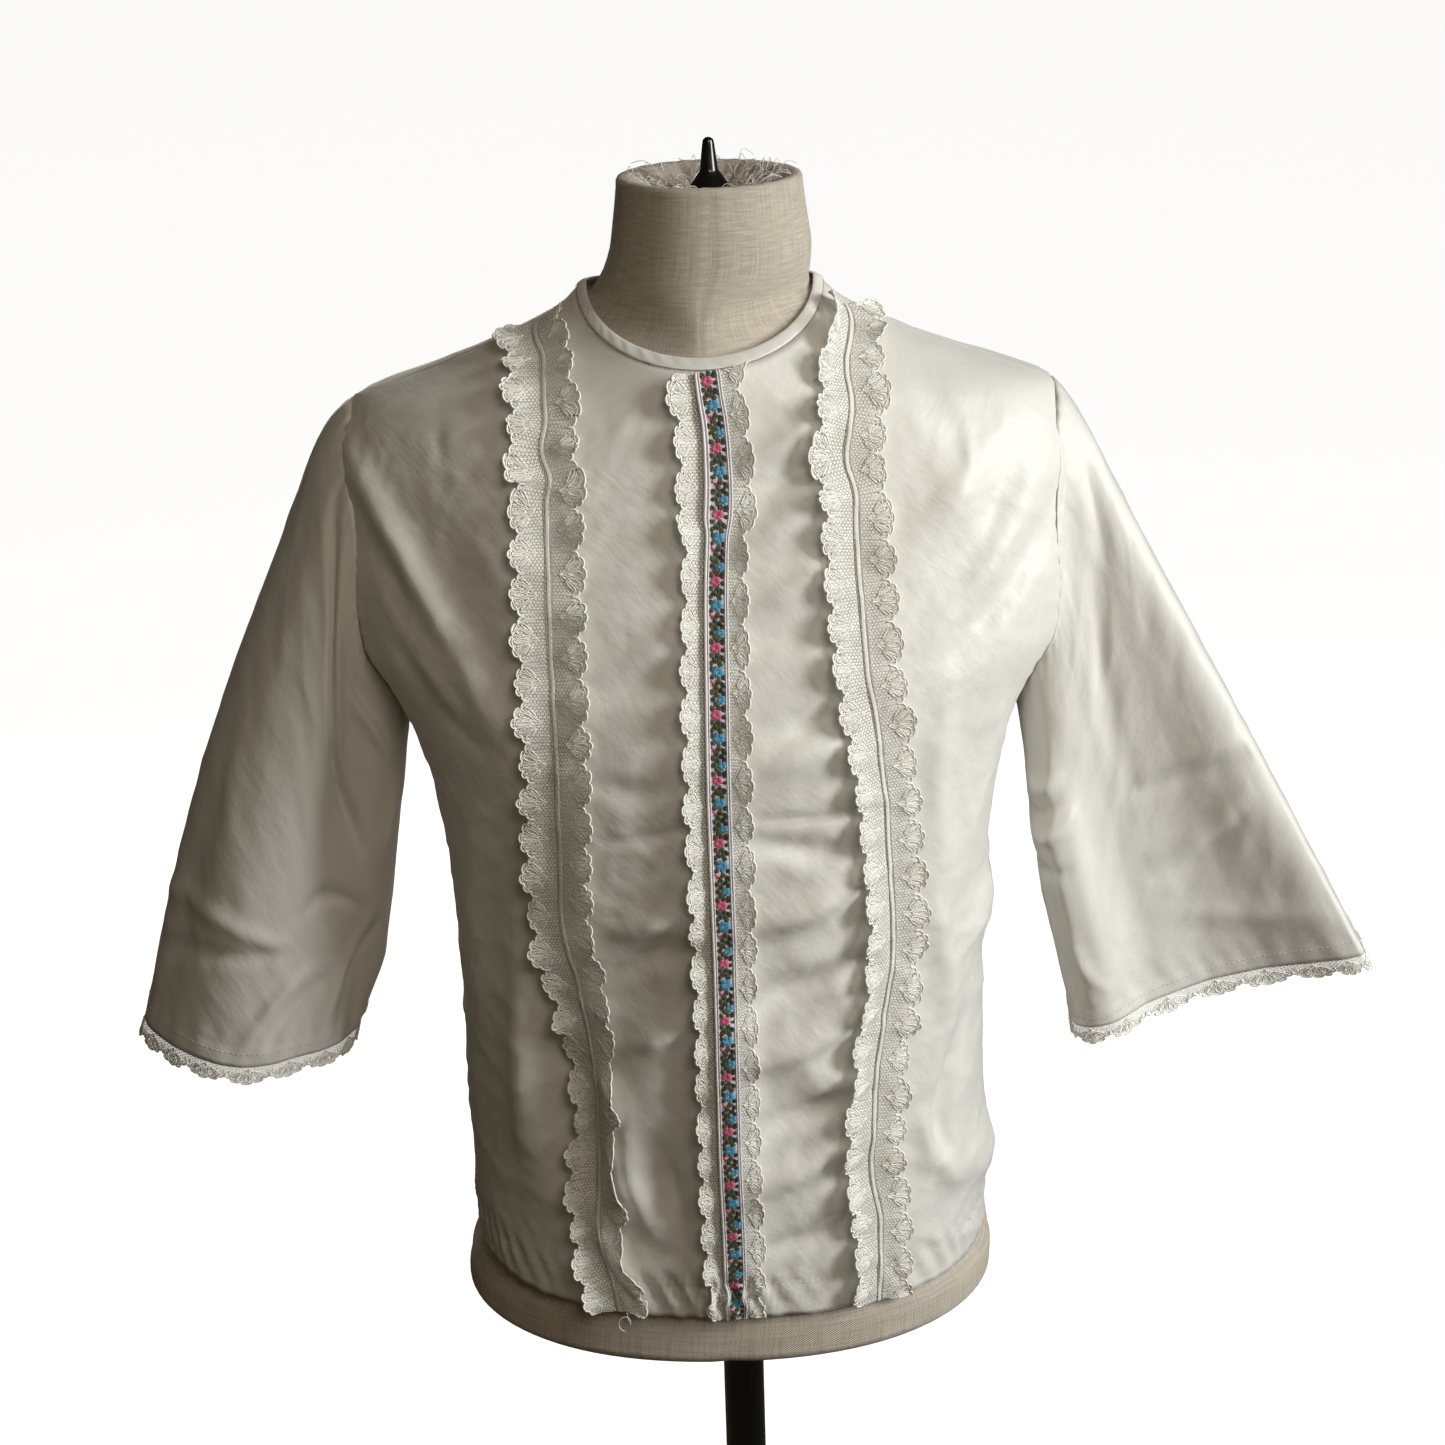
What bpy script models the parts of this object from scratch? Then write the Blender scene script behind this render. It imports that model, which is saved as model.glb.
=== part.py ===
"""Lace-trimmed cotton blouse on a limbless linen dress form with its stand.

Metres, +Z up, the front faces -Y, the floor is z = 0. The wearer's left is +X.
The body cloth is a shell worked out from a short table of body sections. The sleeves are lofted
from the armhole to the hem, and all trims are made from the points of the cloth they are sewn to.
"""

import math

import bmesh
import bpy
import numpy as np

# Heights above the floor
FORM_BOTTOM = 0.445
HEM = 0.4845
HEM_SIDE_RISE = 0.0180
HEM_BACK_RISE = 0.0060
HEM_LEAN = 0.0035
ARMPIT = 0.833
SHOULDER_TIP = 1.020

# Cloth, trims and seams
CLOTH = 0.0012
LACE = 0.0010
RIBBON = 0.0010
SEAM_GAP = 0.0004
ARMHOLE_GAP = 0.0018
ON_CLOTH = 0.0007
ON_LACE = 0.0005

# Lower and upper edge of the neck binding: half_width, front, front_height, back, back_height, side_height
BINDING_LOW = (0.0685, 0.0745, 1.0470, 0.0620, 1.0700, 1.0800)
BINDING_HIGH = (0.0640, 0.0680, 1.0520, 0.0580, 1.0750, 1.0830)
BINDING_THICK = 0.0016

# Armhole: an upright oval, seen from the side
ARMHOLE_HALF_DEPTH = 0.050
# The rows of cloth run level below this height, and above it they turn to follow the neckline
LEVEL_BELOW = 0.745

# Sections of the worn body cloth: height, middle_x, half_width, front, back, squareness
BODY_SECTIONS = (
    (0.470, -0.0045, 0.1590, 0.1230, 0.1210, 2.25),
    (0.545, -0.0050, 0.1600, 0.1260, 0.1180, 2.25),
    (0.605, -0.0060, 0.1595, 0.1270, 0.1090, 2.25),
    (0.665, -0.0060, 0.1585, 0.1290, 0.1010, 2.25),
    (0.725, -0.0060, 0.1600, 0.1330, 0.0990, 2.25),
    (0.785, -0.0065, 0.1660, 0.1370, 0.1030, 2.20),
    (0.833, -0.0070, 0.1780, 0.1360, 0.1100, 2.20),
    (0.855, -0.0070, 0.1890, 0.1320, 0.1130, 2.20),
    (0.885, -0.0070, 0.2070, 0.1250, 0.1150, 2.20),
    (0.925, -0.0070, 0.2150, 0.1120, 0.1140, 2.20),
    (0.975, -0.0070, 0.2155, 0.0950, 0.1050, 2.20),
    (1.005, -0.0070, 0.2080, 0.0850, 0.0950, 2.00),
    (1.020, -0.0070, 0.1985, 0.0805, 0.0890, 1.85),
    (1.040, -0.0070, 0.1460, 0.0760, 0.0790, 1.60),
    (1.052, -0.0070, 0.1150, 0.0720, 0.0720, 1.45),
    (1.061, -0.0070, 0.0950, 0.0690, 0.0670, 1.40),
    (1.071, -0.0070, 0.0775, 0.0650, 0.0615, 1.40),
    (1.080, -0.0070, 0.0685, 0.0610, 0.0570, 1.50),
    (1.100, -0.0070, 0.0600, 0.0560, 0.0540, 1.80),
)

# Sections of the dress form in the same columns. From 1.012 up to the neck it carries the cloth.
FORM_SECTIONS = (
    (0.445, -0.0070, 0.1480, 0.1080, 0.1080, 2.20),
    (0.448, -0.0070, 0.1600, 0.1160, 0.1150, 2.20),
    (0.455, -0.0070, 0.1660, 0.1200, 0.1180, 2.20),
    (0.468, -0.0060, 0.1655, 0.1200, 0.1180, 2.20),
    (0.485, -0.0045, 0.1560, 0.1180, 0.1150, 2.20),
    (0.545, -0.0030, 0.1490, 0.1120, 0.1080, 2.20),
    (0.605, 0.0000, 0.1330, 0.0990, 0.0930, 2.10),
    (0.665, 0.0000, 0.1190, 0.0890, 0.0820, 2.10),
    (0.710, 0.0000, 0.1180, 0.0910, 0.0800, 2.10),
    (0.755, 0.0000, 0.1270, 0.1050, 0.0860, 2.10),
    (0.800, 0.0000, 0.1410, 0.1220, 0.0940, 2.10),
    (0.840, 0.0000, 0.1530, 0.1270, 0.1010, 2.15),
    (0.885, -0.0010, 0.1660, 0.1180, 0.1060, 2.20),
    (0.925, -0.0020, 0.1760, 0.1060, 0.1060, 2.20),
    (0.975, -0.0040, 0.1830, 0.0890, 0.0990, 2.20),
    (1.003, -0.0060, 0.1820, 0.0780, 0.0890, 2.00),
    (1.012, -0.0070, 0.1805, 0.0775, 0.0880, 1.91),
    (1.018, -0.0070, 0.1780, 0.0770, 0.0865, 1.85),
    (1.024, -0.0070, 0.1730, 0.0765, 0.0840, 1.78),
    (1.030, -0.0070, 0.1650, 0.0760, 0.0812, 1.70),
    (1.037, -0.0070, 0.1480, 0.0742, 0.0775, 1.60),
    (1.044, -0.0070, 0.1290, 0.0705, 0.0735, 1.48),
    (1.050, -0.0070, 0.1140, 0.0665, 0.0700, 1.35),
    (1.056, -0.0070, 0.1003, 0.0650, 0.0660, 1.28),
    (1.062, -0.0070, 0.0882, 0.0637, 0.0625, 1.25),
    (1.068, -0.0070, 0.0780, 0.0620, 0.0590, 1.28),
    (1.074, -0.0070, 0.0685, 0.0600, 0.0555, 1.40),
    (1.078, -0.0065, 0.0610, 0.0585, 0.0550, 1.60),
    (1.088, -0.0030, 0.0580, 0.0565, 0.0545, 1.90),
    (1.105, 0.0000, 0.0558, 0.0545, 0.0535, 2.00),
    (1.125, 0.0000, 0.0530, 0.0525, 0.0520, 2.00),
    (1.135, 0.0000, 0.0518, 0.0515, 0.0512, 2.00),
    (1.140, 0.0000, 0.0485, 0.0485, 0.0480, 2.00),
    (1.138, 0.0000, 0.0400, 0.0400, 0.0400, 2.00),
    (1.135, 0.0000, 0.0220, 0.0220, 0.0220, 2.00),
    (1.134, 0.0000, 0.0140, 0.0140, 0.0140, 2.00),
)
SPIKE_FLOOR = 1.134

# Soft folds of the front, seen from the front: x0, z0, x1, z1, half_width, height
FRONT_FOLDS = (
    (-0.178, 1.000, -0.128, 0.860, 0.016, 0.0055),
    (-0.190, 0.965, -0.165, 0.850, 0.010, -0.0035),
    (-0.118, 0.990, -0.085, 0.900, 0.012, 0.0020),
    (-0.128, 0.700, -0.118, 0.560, 0.012, 0.0060),
    (-0.098, 0.690, -0.090, 0.530, 0.018, -0.0070),
    (-0.070, 0.780, -0.110, 0.700, 0.015, 0.0030),
    (-0.030, 0.700, -0.070, 0.600, 0.018, 0.0045),
    (-0.020, 0.620, -0.055, 0.540, 0.012, -0.0035),
    (0.030, 0.720, 0.075, 0.700, 0.014, 0.0035),
    (0.025, 0.655, 0.080, 0.620, 0.014, 0.0035),
    (0.030, 0.600, 0.080, 0.570, 0.012, -0.0030),
    (0.150, 0.840, 0.105, 0.700, 0.016, 0.0045),
    (0.162, 0.990, 0.120, 0.880, 0.014, -0.0030),
    (0.110, 1.020, 0.150, 0.930, 0.012, 0.0025),
    (0.168, 0.735, 0.135, 0.690, 0.014, 0.0060),
    (0.172, 0.525, 0.135, 0.560, 0.016, 0.0065),
    (0.120, 0.660, 0.128, 0.560, 0.014, 0.0035),
)
# Soft folds of the back, in the same columns
BACK_FOLDS = (
    (-0.150, 0.840, -0.090, 0.690, 0.018, 0.0050),
    (0.150, 0.835, 0.085, 0.700, 0.018, 0.0050),
    (-0.080, 0.680, -0.095, 0.520, 0.016, 0.0050),
    (0.075, 0.670, 0.100, 0.520, 0.016, 0.0050),
    (-0.045, 0.640, -0.040, 0.520, 0.014, -0.0040),
    (0.045, 0.650, 0.052, 0.530, 0.014, -0.0040),
    (-0.165, 0.980, -0.120, 0.890, 0.014, 0.0030),
    (0.165, 0.980, 0.120, 0.890, 0.014, 0.0030),
)

# Sleeves: side, hem_x, hem_z, hem_half_width, hem_half_depth, hem_tilt_deg, bow, hem_y
SLEEVES = {
    "sleeve_right": (-1, 0.2890, 0.6380, 0.0710, 0.0650, 4.0, 0.016, -0.004),
    "sleeve_left": (1, 0.2945, 0.6450, 0.0905, 0.0220, 15.0, 0.002, -0.006),
}
# Lengthwise folds of each sleeve: turn_deg, half_width_deg, start, end, height
SLEEVE_FOLDS = {
    "sleeve_right": (
        (118.0, 16.0, 0.05, 0.85, -0.0080),
        (70.0, 20.0, 0.30, 1.00, 0.0050),
        (150.0, 14.0, 0.55, 1.10, -0.0090),
        (35.0, 14.0, 0.55, 1.00, -0.0040),
        (235.0, 20.0, 0.20, 1.05, -0.0060),
        (290.0, 20.0, 0.35, 1.05, 0.0050),
    ),
    "sleeve_left": (
        (150.0, 16.0, 0.10, 0.80, 0.0080),
        (125.0, 13.0, 0.15, 0.90, -0.0045),
        (50.0, 22.0, 0.30, 0.95, 0.0030),
        (235.0, 20.0, 0.25, 1.00, 0.0040),
        (200.0, 16.0, 0.10, 0.70, -0.0050),
    ),
}
SLEEVE_HEAD = 0.0075
SLEEVE_HEAD_AT = 0.07

# Middle lines of the trims on the front, from the hem up: side share u, height share v
SIDE_LACE_RIGHT = (
    (-0.250, 0.002),
    (-0.293, 0.115),
    (-0.286, 0.230),
    (-0.318, 0.365),
    (-0.336, 0.440),
    (-0.285, 0.610),
    (-0.250, 0.685),
    (-0.245, 0.765),
    (-0.258, 0.878),
    (-0.370, 0.938),
    (-0.520, 0.963),
    (-0.740, 0.974),
    (-0.930, 0.973),
)
SIDE_LACE_LEFT = (
    (0.335, 0.002),
    (0.340, 0.093),
    (0.320, 0.148),
    (0.335, 0.227),
    (0.385, 0.390),
    (0.355, 0.523),
    (0.310, 0.602),
    (0.245, 0.690),
    (0.230, 0.783),
    (0.240, 0.885),
    (0.340, 0.943),
    (0.600, 0.975),
    (0.930, 0.983),
)
CENTRE_LACE = (
    (0.003, 0.002),
    (0.006, 0.500),
    (0.008, 0.750),
    (0.025, 0.990),
)
CENTRE_X = -0.004
SIDE_SCALLOPS = 27
CENTRE_SCALLOPS = 23
CUFF_SCALLOPS = 18
RIBBON_ROWS = 36
MIDDLE_STEPS = 400
ROWS_PER_SCALLOP = 4
LACE_ROOT = 0.0035
LACE_VALLEY = 0.0135
LACE_TIP = 0.0205
CENTRE_VALLEY = 0.0145
CENTRE_TIP = 0.0215
CENTRE_ROOT = 0.0085
RIBBON_HALF_WIDTH = 0.0070
CUFF_VALLEY = 0.0050
CUFF_TIP = 0.0110

# Half the gap in the binding at the centre back, as a turn of the neck ring, and the button
BACK_OPENING = 0.004
BUTTON_RADIUS = 0.0055
BUTTON_THICK = 0.0022
BUTTON_AT = 0.972

# Stand
POLE_RADIUS = 0.0130
BASE_RADIUS = 0.170
BASE_EDGE = 0.012
BASE_RISE = 0.030
COLLAR_RADIUS = 0.024
COLLAR_TOP = 0.070
SPIKE_TOP = 1.160

# Cloth panel grids
FRONT_COLUMNS = 22
BACK_COLUMNS = 9
SIDE_ROWS = 11
ARMHOLE_ROWS = 8
SHOULDER_ROWS = 5
BINDING_COLUMNS = 44
FORM_SIDES = 28
SLEEVE_TURNS = 22
SLEEVE_RINGS = 12

COLOURS = {
    "cotton": (0.80, 0.77, 0.69, 1.0),
    "lace": (0.86, 0.83, 0.74, 1.0),
    "ribbon": (0.62, 0.50, 0.52, 1.0),
    "linen": (0.58, 0.53, 0.45, 1.0),
    "button": (0.85, 0.83, 0.77, 1.0),
    "black_metal": (0.012, 0.012, 0.013, 1.0),
}
ROUGHNESS = {"cotton": 0.8, "lace": 0.7, "ribbon": 0.6, "linen": 0.9, "button": 0.35, "black_metal": 0.3}


def clear_scene():
    for obj in list(bpy.data.objects):
        bpy.data.objects.remove(obj)


def finish_of(name):
    """The shared material of a finish, made once."""
    material = bpy.data.materials.get(name)
    if material is None:
        material = bpy.data.materials.new(name)
        material.use_nodes = True
        shader = material.node_tree.nodes["Principled BSDF"]
        shader.inputs["Base Color"].default_value = COLOURS[name]
        shader.inputs["Roughness"].default_value = ROUGHNESS[name]
        shader.inputs["Metallic"].default_value = 0.6 if name == "black_metal" else 0.0
    return material


def steady_curve(knots, values, at):
    """A smooth curve through the knots that never overshoots them."""
    knots = np.asarray(knots, float)
    values = np.asarray(values, float)
    steps = np.diff(knots)
    slopes = np.diff(values) / steps
    tangents = np.zeros_like(values)
    tangents[0] = slopes[0]
    tangents[-1] = slopes[-1]
    for i in range(1, len(values) - 1):
        if slopes[i - 1] * slopes[i] > 0:
            before = 2 * steps[i] + steps[i - 1]
            after = steps[i] + 2 * steps[i - 1]
            tangents[i] = (before + after) / (before / slopes[i - 1] + after / slopes[i])
    at = np.clip(np.asarray(at, float), knots[0], knots[-1])
    cell = np.clip(np.searchsorted(knots, at, side="right") - 1, 0, len(steps) - 1)
    step = steps[cell]
    t = (at - knots[cell]) / step
    return (
        values[cell] * (1 + 2 * t) * (1 - t) ** 2
        + tangents[cell] * step * t * (1 - t) ** 2
        + values[cell + 1] * t * t * (3 - 2 * t)
        + tangents[cell + 1] * step * t * t * (t - 1)
    )


def section(table, height):
    """(middle x, half width, front depth, back depth, squareness) of a body at these heights."""
    columns = np.array(table, float).T
    return [steady_curve(columns[0], column, height) for column in columns[1:]]


def smooth_step(low, high, at):
    share = np.clip((np.asarray(at, float) - low) / (high - low), 0, 1)
    return share * share * (3 - 2 * share)


def ring_on_neck(edge, turn):
    """Points of an edge round the neck. turn is 0 at the centre front and half a turn at the back."""
    half, front, front_height, back, back_height, side_height = edge
    forward = np.cos(turn) >= 0
    reach = np.where(forward, front, back)
    low = np.where(forward, front_height, back_height)
    x = middle_at(side_height) + half * np.sin(turn)
    height = low + (side_height - low) * (1 - np.abs(np.cos(turn)))
    return np.stack([x, -reach * np.cos(turn), height], -1)


def middle_at(height):
    return section(BODY_SECTIONS, height)[0]


def body_turn(points):
    """How far round the body these points lie, 0 at the centre and a quarter turn at the side."""
    middle, half, front, back, power = section(BODY_SECTIONS, points[..., 2])
    depth = np.where(points[..., 1] < 0, front, back)
    across = (np.abs(points[..., 0] - middle) / half) ** (power / 2)
    return np.arctan2(across, (np.abs(points[..., 1]) / depth) ** (power / 2))


def body_point(turn, height, side, face):
    """The point of the body cloth at this turn. side is -1 or 1 for x, face is -1 for the front."""
    middle, half, front, back, power = section(BODY_SECTIONS, height)
    depth = front if face < 0 else back
    x = middle + side * half * np.sin(turn) ** (2 / power)
    y = face * depth * np.clip(np.cos(turn), 0, 1) ** (2 / power)
    return np.stack(np.broadcast_arrays(x, y, height), -1)


def armhole_half_depth(height):
    middle = (ARMPIT + SHOULDER_TIP) / 2
    reach = (SHOULDER_TIP - ARMPIT) / 2
    return ARMHOLE_HALF_DEPTH * np.sqrt(np.clip(1 - ((height - middle) / reach) ** 2, 0, 1))


def armhole_turn(height, face):
    """How far round the body the cloth reaches at this height: a quarter turn, less at the armhole."""
    _, _, front, back, power = section(BODY_SECTIONS, height)
    depth = front if face < 0 else back
    return np.arccos(np.clip((armhole_half_depth(height) / depth) ** (power / 2), 0, 1))


def hem_height(u, face):
    rise = HEM_SIDE_RISE * np.abs(u) ** 5
    back = HEM_BACK_RISE * (1 - np.abs(u)) if face > 0 else 0.0
    return HEM + rise + back - HEM_LEAN * u


def plain_body(u, v, face):
    """Body cloth without folds. u is -1 to 1 from side to side, v is 0 at the hem and 1 at the neck."""
    u = np.asarray(u, float)
    v = np.asarray(v, float)
    side = np.sign(u)
    neck_turn = u * math.pi / 2 if face < 0 else math.pi - u * math.pi / 2
    neck = ring_on_neck(BINDING_LOW, neck_turn)
    neck_height = neck[..., 2]
    hem_side = hem_height(1.0, face)
    edge = hem_side + (BINDING_LOW[-1] - hem_side) * v
    up = np.clip((edge - LEVEL_BELOW) / (BINDING_LOW[-1] - LEVEL_BELOW), 0, 1)
    down = 1 - smooth_step(0.0, 0.35, v)
    height = edge + (neck_height - BINDING_LOW[-1]) * up**1.5 + (hem_height(u, face) - hem_side) * down
    turn = np.abs(u) * math.pi / 2 - np.abs(u) ** 4 * (math.pi / 2 - armhole_turn(edge, face))
    turn = turn + (body_turn(neck) - turn) * up**4
    settle = smooth_step(0.80, 1.0, v)[..., None]
    to_neck = neck - body_point(body_turn(neck), neck_height, side, face)
    return body_point(turn, height, side, face) + to_neck * settle


def soft_folds(points, table):
    """Height of the folds at these points, each a soft ridge or trough along its own line."""
    found = np.zeros(points.shape[:-1])
    for x0, z0, x1, z1, half_width, height in table:
        along = np.array([x1 - x0, z1 - z0])
        length = math.hypot(*along)
        away = points[..., (0, 2)] - np.array([x0, z0])
        share = (away @ along) / length**2
        nearest = np.clip(share, 0, 1)[..., None] * along
        off = np.linalg.norm(away - nearest, axis=-1)
        swell = np.exp(-((off / half_width) ** 2))
        taper = 0.35 + 0.65 * np.sin(np.clip(share, 0, 1) * math.pi)
        found = found + height * swell * taper
    return found


def grid_normals(grid, closed=False):
    """Unit normals of a grid of points [row, column], and the sign is the caller's to set."""
    if closed:
        across = np.roll(grid, -1, axis=1) - np.roll(grid, 1, axis=1)
    else:
        across = np.gradient(grid, axis=1)
    along = np.gradient(grid, axis=0)
    normals = np.cross(across, along)
    return normals / np.maximum(np.linalg.norm(normals, axis=-1, keepdims=True), 1e-12)


def body_rows():
    """Height shares of the panel's rows, closer together where the armhole and shoulder turn."""
    hem_side = hem_height(1.0, -1)
    reach = BINDING_LOW[-1] - hem_side
    armpit = (ARMPIT - hem_side) / reach
    tip = (SHOULDER_TIP - hem_side) / reach
    lower = np.linspace(0, armpit, SIDE_ROWS + 1)
    sweep = (1 - np.cos(np.linspace(0, math.pi, ARMHOLE_ROWS + 1))) / 2
    middle = armpit + (tip - armpit) * sweep
    upper = tip + (1 - tip) * np.linspace(0, 1, SHOULDER_ROWS + 1)
    return np.concatenate([lower, middle[1:], upper[1:]])


def body_panel(columns, face):
    """(outer points, outward normals) of a body panel at these side shares."""
    v, u = np.meshgrid(body_rows(), columns, indexing="ij")
    plain = plain_body(u, v, face)
    normals = grid_normals(plain)
    if normals[..., 1].mean() * face < 0:
        normals = -normals
    for end, seam in ((0, columns[0]), (-1, columns[-1])):
        if abs(seam) == 1:
            normals[:, end] = seam_normals(normals[:, end])
        if seam == 0:
            normals[:, end] = level_normals(normals[:, end], (0, 1, 1))
    table = FRONT_FOLDS if face < 0 else BACK_FOLDS
    fade = smooth_step(0.0, 0.12, 1 - np.abs(u)) * smooth_step(0.0, 0.06, 1 - v)
    if face < 0:
        fade = fade * smooth_step(CENTRE_ROOT, CENTRE_TIP * 2, np.abs(plain[..., 0] - CENTRE_X))
    folds = soft_folds(plain, table) * fade
    outer = plain + normals * folds[..., None]
    outer[..., 1] += face * SEAM_GAP / 2 * smooth_step(0.9, 1.0, np.abs(u))
    if face > 0:
        outer[..., 0] += np.sign(columns.sum()) * SEAM_GAP / 2 * (1 - smooth_step(0.0, 0.1, np.abs(u)))
    return outer, normals


def seam_normals(normals):
    """Normals along a side edge, alike for front and back wherever the two are sewn together."""
    sewn = np.ones(len(normals), bool)
    sewn[SIDE_ROWS + 1 : SIDE_ROWS + ARMHOLE_ROWS] = False
    return np.where(sewn[:, None], level_normals(normals, (1, 0, 1)), normals)


def level_normals(normals, keep):
    """Normals with only the axes marked 1 kept."""
    level = normals * keep
    return level / np.linalg.norm(level, axis=1, keepdims=True)


def mesh_object(name, points, faces, finish, smooth_deg=40):
    mesh = bpy.data.meshes.new(name)
    mesh.from_pydata([tuple(p) for p in points], [], faces)
    work = bmesh.new()
    work.from_mesh(mesh)
    bmesh.ops.recalc_face_normals(work, faces=work.faces[:])
    if work.calc_volume(signed=True) < 0:
        bmesh.ops.reverse_faces(work, faces=work.faces[:])
    work.to_mesh(mesh)
    work.free()
    mesh.shade_smooth()
    mesh.set_sharp_from_angle(angle=math.radians(smooth_deg))
    mesh.materials.append(finish_of(finish))
    obj = bpy.data.objects.new(name, mesh)
    bpy.context.scene.collection.objects.link(obj)
    return obj


def wall(name, outer, inner, finish, closed=False):
    """A thin wall between two grids of points [row, column]. closed joins the last column to the first."""
    rows, columns = outer.shape[:2]
    points = np.concatenate([outer.reshape(-1, 3), inner.reshape(-1, 3)])
    shift = rows * columns
    steps = columns if closed else columns - 1
    faces = []

    def at(row, column, layer):
        return layer * shift + row * columns + column % columns

    for row in range(rows - 1):
        for column in range(steps):
            ring = [(row, column), (row, column + 1), (row + 1, column + 1), (row + 1, column)]
            faces.append([at(r, c, 0) for r, c in ring])
            faces.append([at(r, c, 1) for r, c in reversed(ring)])

    def edge(first, second):
        faces.append([at(*first, 0), at(*second, 0), at(*second, 1), at(*first, 1)])

    for column in range(steps):
        edge((0, column + 1), (0, column))
        edge((rows - 1, column), (rows - 1, column + 1))
    if not closed:
        for row in range(rows - 1):
            edge((row, 0), (row + 1, 0))
            edge((row + 1, columns - 1), (row, columns - 1))
    return mesh_object(name, points, faces, finish)


def loft(name, rings, finish, smooth_deg=40):
    """A whole solid through closed rings of points, capped at both ends."""
    count = len(rings[0])
    points = [p for ring in rings for p in ring]
    faces = [list(range(count))[::-1]]
    for row in range(len(rings) - 1):
        for i in range(count):
            j = (i + 1) % count
            faces.append([row * count + i, row * count + j, (row + 1) * count + j, (row + 1) * count + i])
    last = (len(rings) - 1) * count
    faces.append([last + i for i in range(count)])
    return mesh_object(name, points, faces, finish, smooth_deg)


def turned(name, profile, finish, sides=28, centre=(0.0, 0.0)):
    """A solid of revolution about an upright axis, from (radius, height) rows."""
    swing = [2 * math.pi * i / sides for i in range(sides)]
    x, y = centre
    rings = []
    for radius, height in profile:
        rings.append([(x + radius * math.cos(a), y + radius * math.sin(a), height) for a in swing])
    return loft(name, rings, finish)


class Panel:
    """A panel's faceted outer points, so that trims can be laid on the very facets."""

    def __init__(self, columns, outer, normals):
        self.columns = np.asarray(columns, float)
        self.rows = body_rows()
        self.outer = outer
        self.normals = normals

    def mixed(self, values, u, v):
        row = np.clip(np.searchsorted(self.rows, v, side="right") - 1, 0, len(self.rows) - 2)
        column = np.clip(np.searchsorted(self.columns, u, side="right") - 1, 0, len(self.columns) - 2)
        s = ((v - self.rows[row]) / (self.rows[row + 1] - self.rows[row]))[..., None]
        t = ((u - self.columns[column]) / (self.columns[column + 1] - self.columns[column]))[..., None]
        low = values[row, column] * (1 - t) + values[row, column + 1] * t
        high = values[row + 1, column] * (1 - t) + values[row + 1, column + 1] * t
        return low * (1 - s) + high * s

    def point(self, u, v, lift):
        normal = self.mixed(self.normals, u, v)
        normal = normal / np.linalg.norm(normal, axis=-1, keepdims=True)
        return self.mixed(self.outer, u, v) + normal * np.asarray(lift)[..., None]


def strip_places(panel, middle, offsets):
    """(u, v) of points beside a middle line of (u, v) rows, at these distances across it."""
    u, v = middle
    step = 1e-3
    centre = panel.point(u, v, np.zeros_like(u))
    across_u = (panel.point(u + step, v, np.zeros_like(u)) - centre) / step
    across_v = (panel.point(u, v - step, np.zeros_like(u)) - centre) / -step
    along = np.gradient(centre, axis=0)
    normal = np.cross(across_u, across_v)
    side = np.cross(along, normal)
    side = side / np.linalg.norm(side, axis=-1, keepdims=True)
    side = side * np.sign(side[..., :1])
    places = []
    for distance in offsets:
        pull = np.stack([across_u, across_v], -1)
        moves = np.einsum("...ij,...i->...j", pull, side)
        square = np.einsum("...ij,...ik->...jk", pull, pull)
        share = np.linalg.solve(square, moves[..., None])[..., 0]
        places.append((u + share[..., 0] * distance, v + share[..., 1] * distance))
    return places


def even_middle(panel, table, count):
    """A middle line at even real spacing along a panel, from a table of its places."""
    u, v = np.array(table, float).T

    def run(u, v):
        line = panel.point(u, v, np.zeros_like(u))
        return np.concatenate([[0], np.cumsum(np.linalg.norm(np.diff(line, axis=0), axis=1))])

    knots = run(u, v)
    fine = np.linspace(0, knots[-1], MIDDLE_STEPS)
    u_fine = steady_curve(knots, u, fine)
    v_fine = steady_curve(knots, v, fine)
    length = run(u_fine, v_fine)
    even = np.linspace(0, length[-1], count)
    return np.interp(even, length, u_fine), np.interp(even, length, v_fine)


def scallop(turns):
    """0 in the valley between two shells and 1 at a shell's tip."""
    share = np.mod(turns, 1.0)
    return np.sqrt(np.clip(np.sin(share * math.pi), 0, 1))


def lace_strip(name, panel, table, scallops, root, valley, tip, slip):
    """Lace with a scalloped edge on both sides of its middle, gathered, so its edges lift in waves."""
    rows = scallops * ROWS_PER_SCALLOP + 1
    u, v = even_middle(panel, table, rows)
    turns = np.arange(rows) / ROWS_PER_SCALLOP
    sway = 0.0009 * np.sin(turns * 2.3) + 0.0006 * np.sin(turns * 5.1 + 1.0)
    left = -(valley + (tip - valley) * scallop(turns) + sway)
    right = valley + (tip - valley) * scallop(turns + slip) + sway
    wave_left = 0.0022 + 0.0014 * np.sin(turns * 2 * math.pi * 0.5) + 0.0008 * np.sin(turns * 1.7)
    wave_right = 0.0022 + 0.0014 * np.sin((turns + slip) * 2 * math.pi * 0.5 + 1.5)
    offsets = [left, np.full(rows, -root), np.full(rows, root), right]
    lifts = [wave_left, np.zeros(rows), np.zeros(rows), wave_right]
    under = []
    over = []
    for (place_u, place_v), lift in zip(strip_places(panel, (u, v), offsets), lifts):
        place_u = np.clip(place_u, panel.columns[0], panel.columns[-1])
        place_v = np.clip(place_v, 0.002, 0.998)
        under.append(panel.point(place_u, place_v, lift + ON_CLOTH))
        over.append(panel.point(place_u, place_v, lift + ON_CLOTH + LACE))
    return wall(name, np.stack(over, 1), np.stack(under, 1), "lace")


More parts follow.
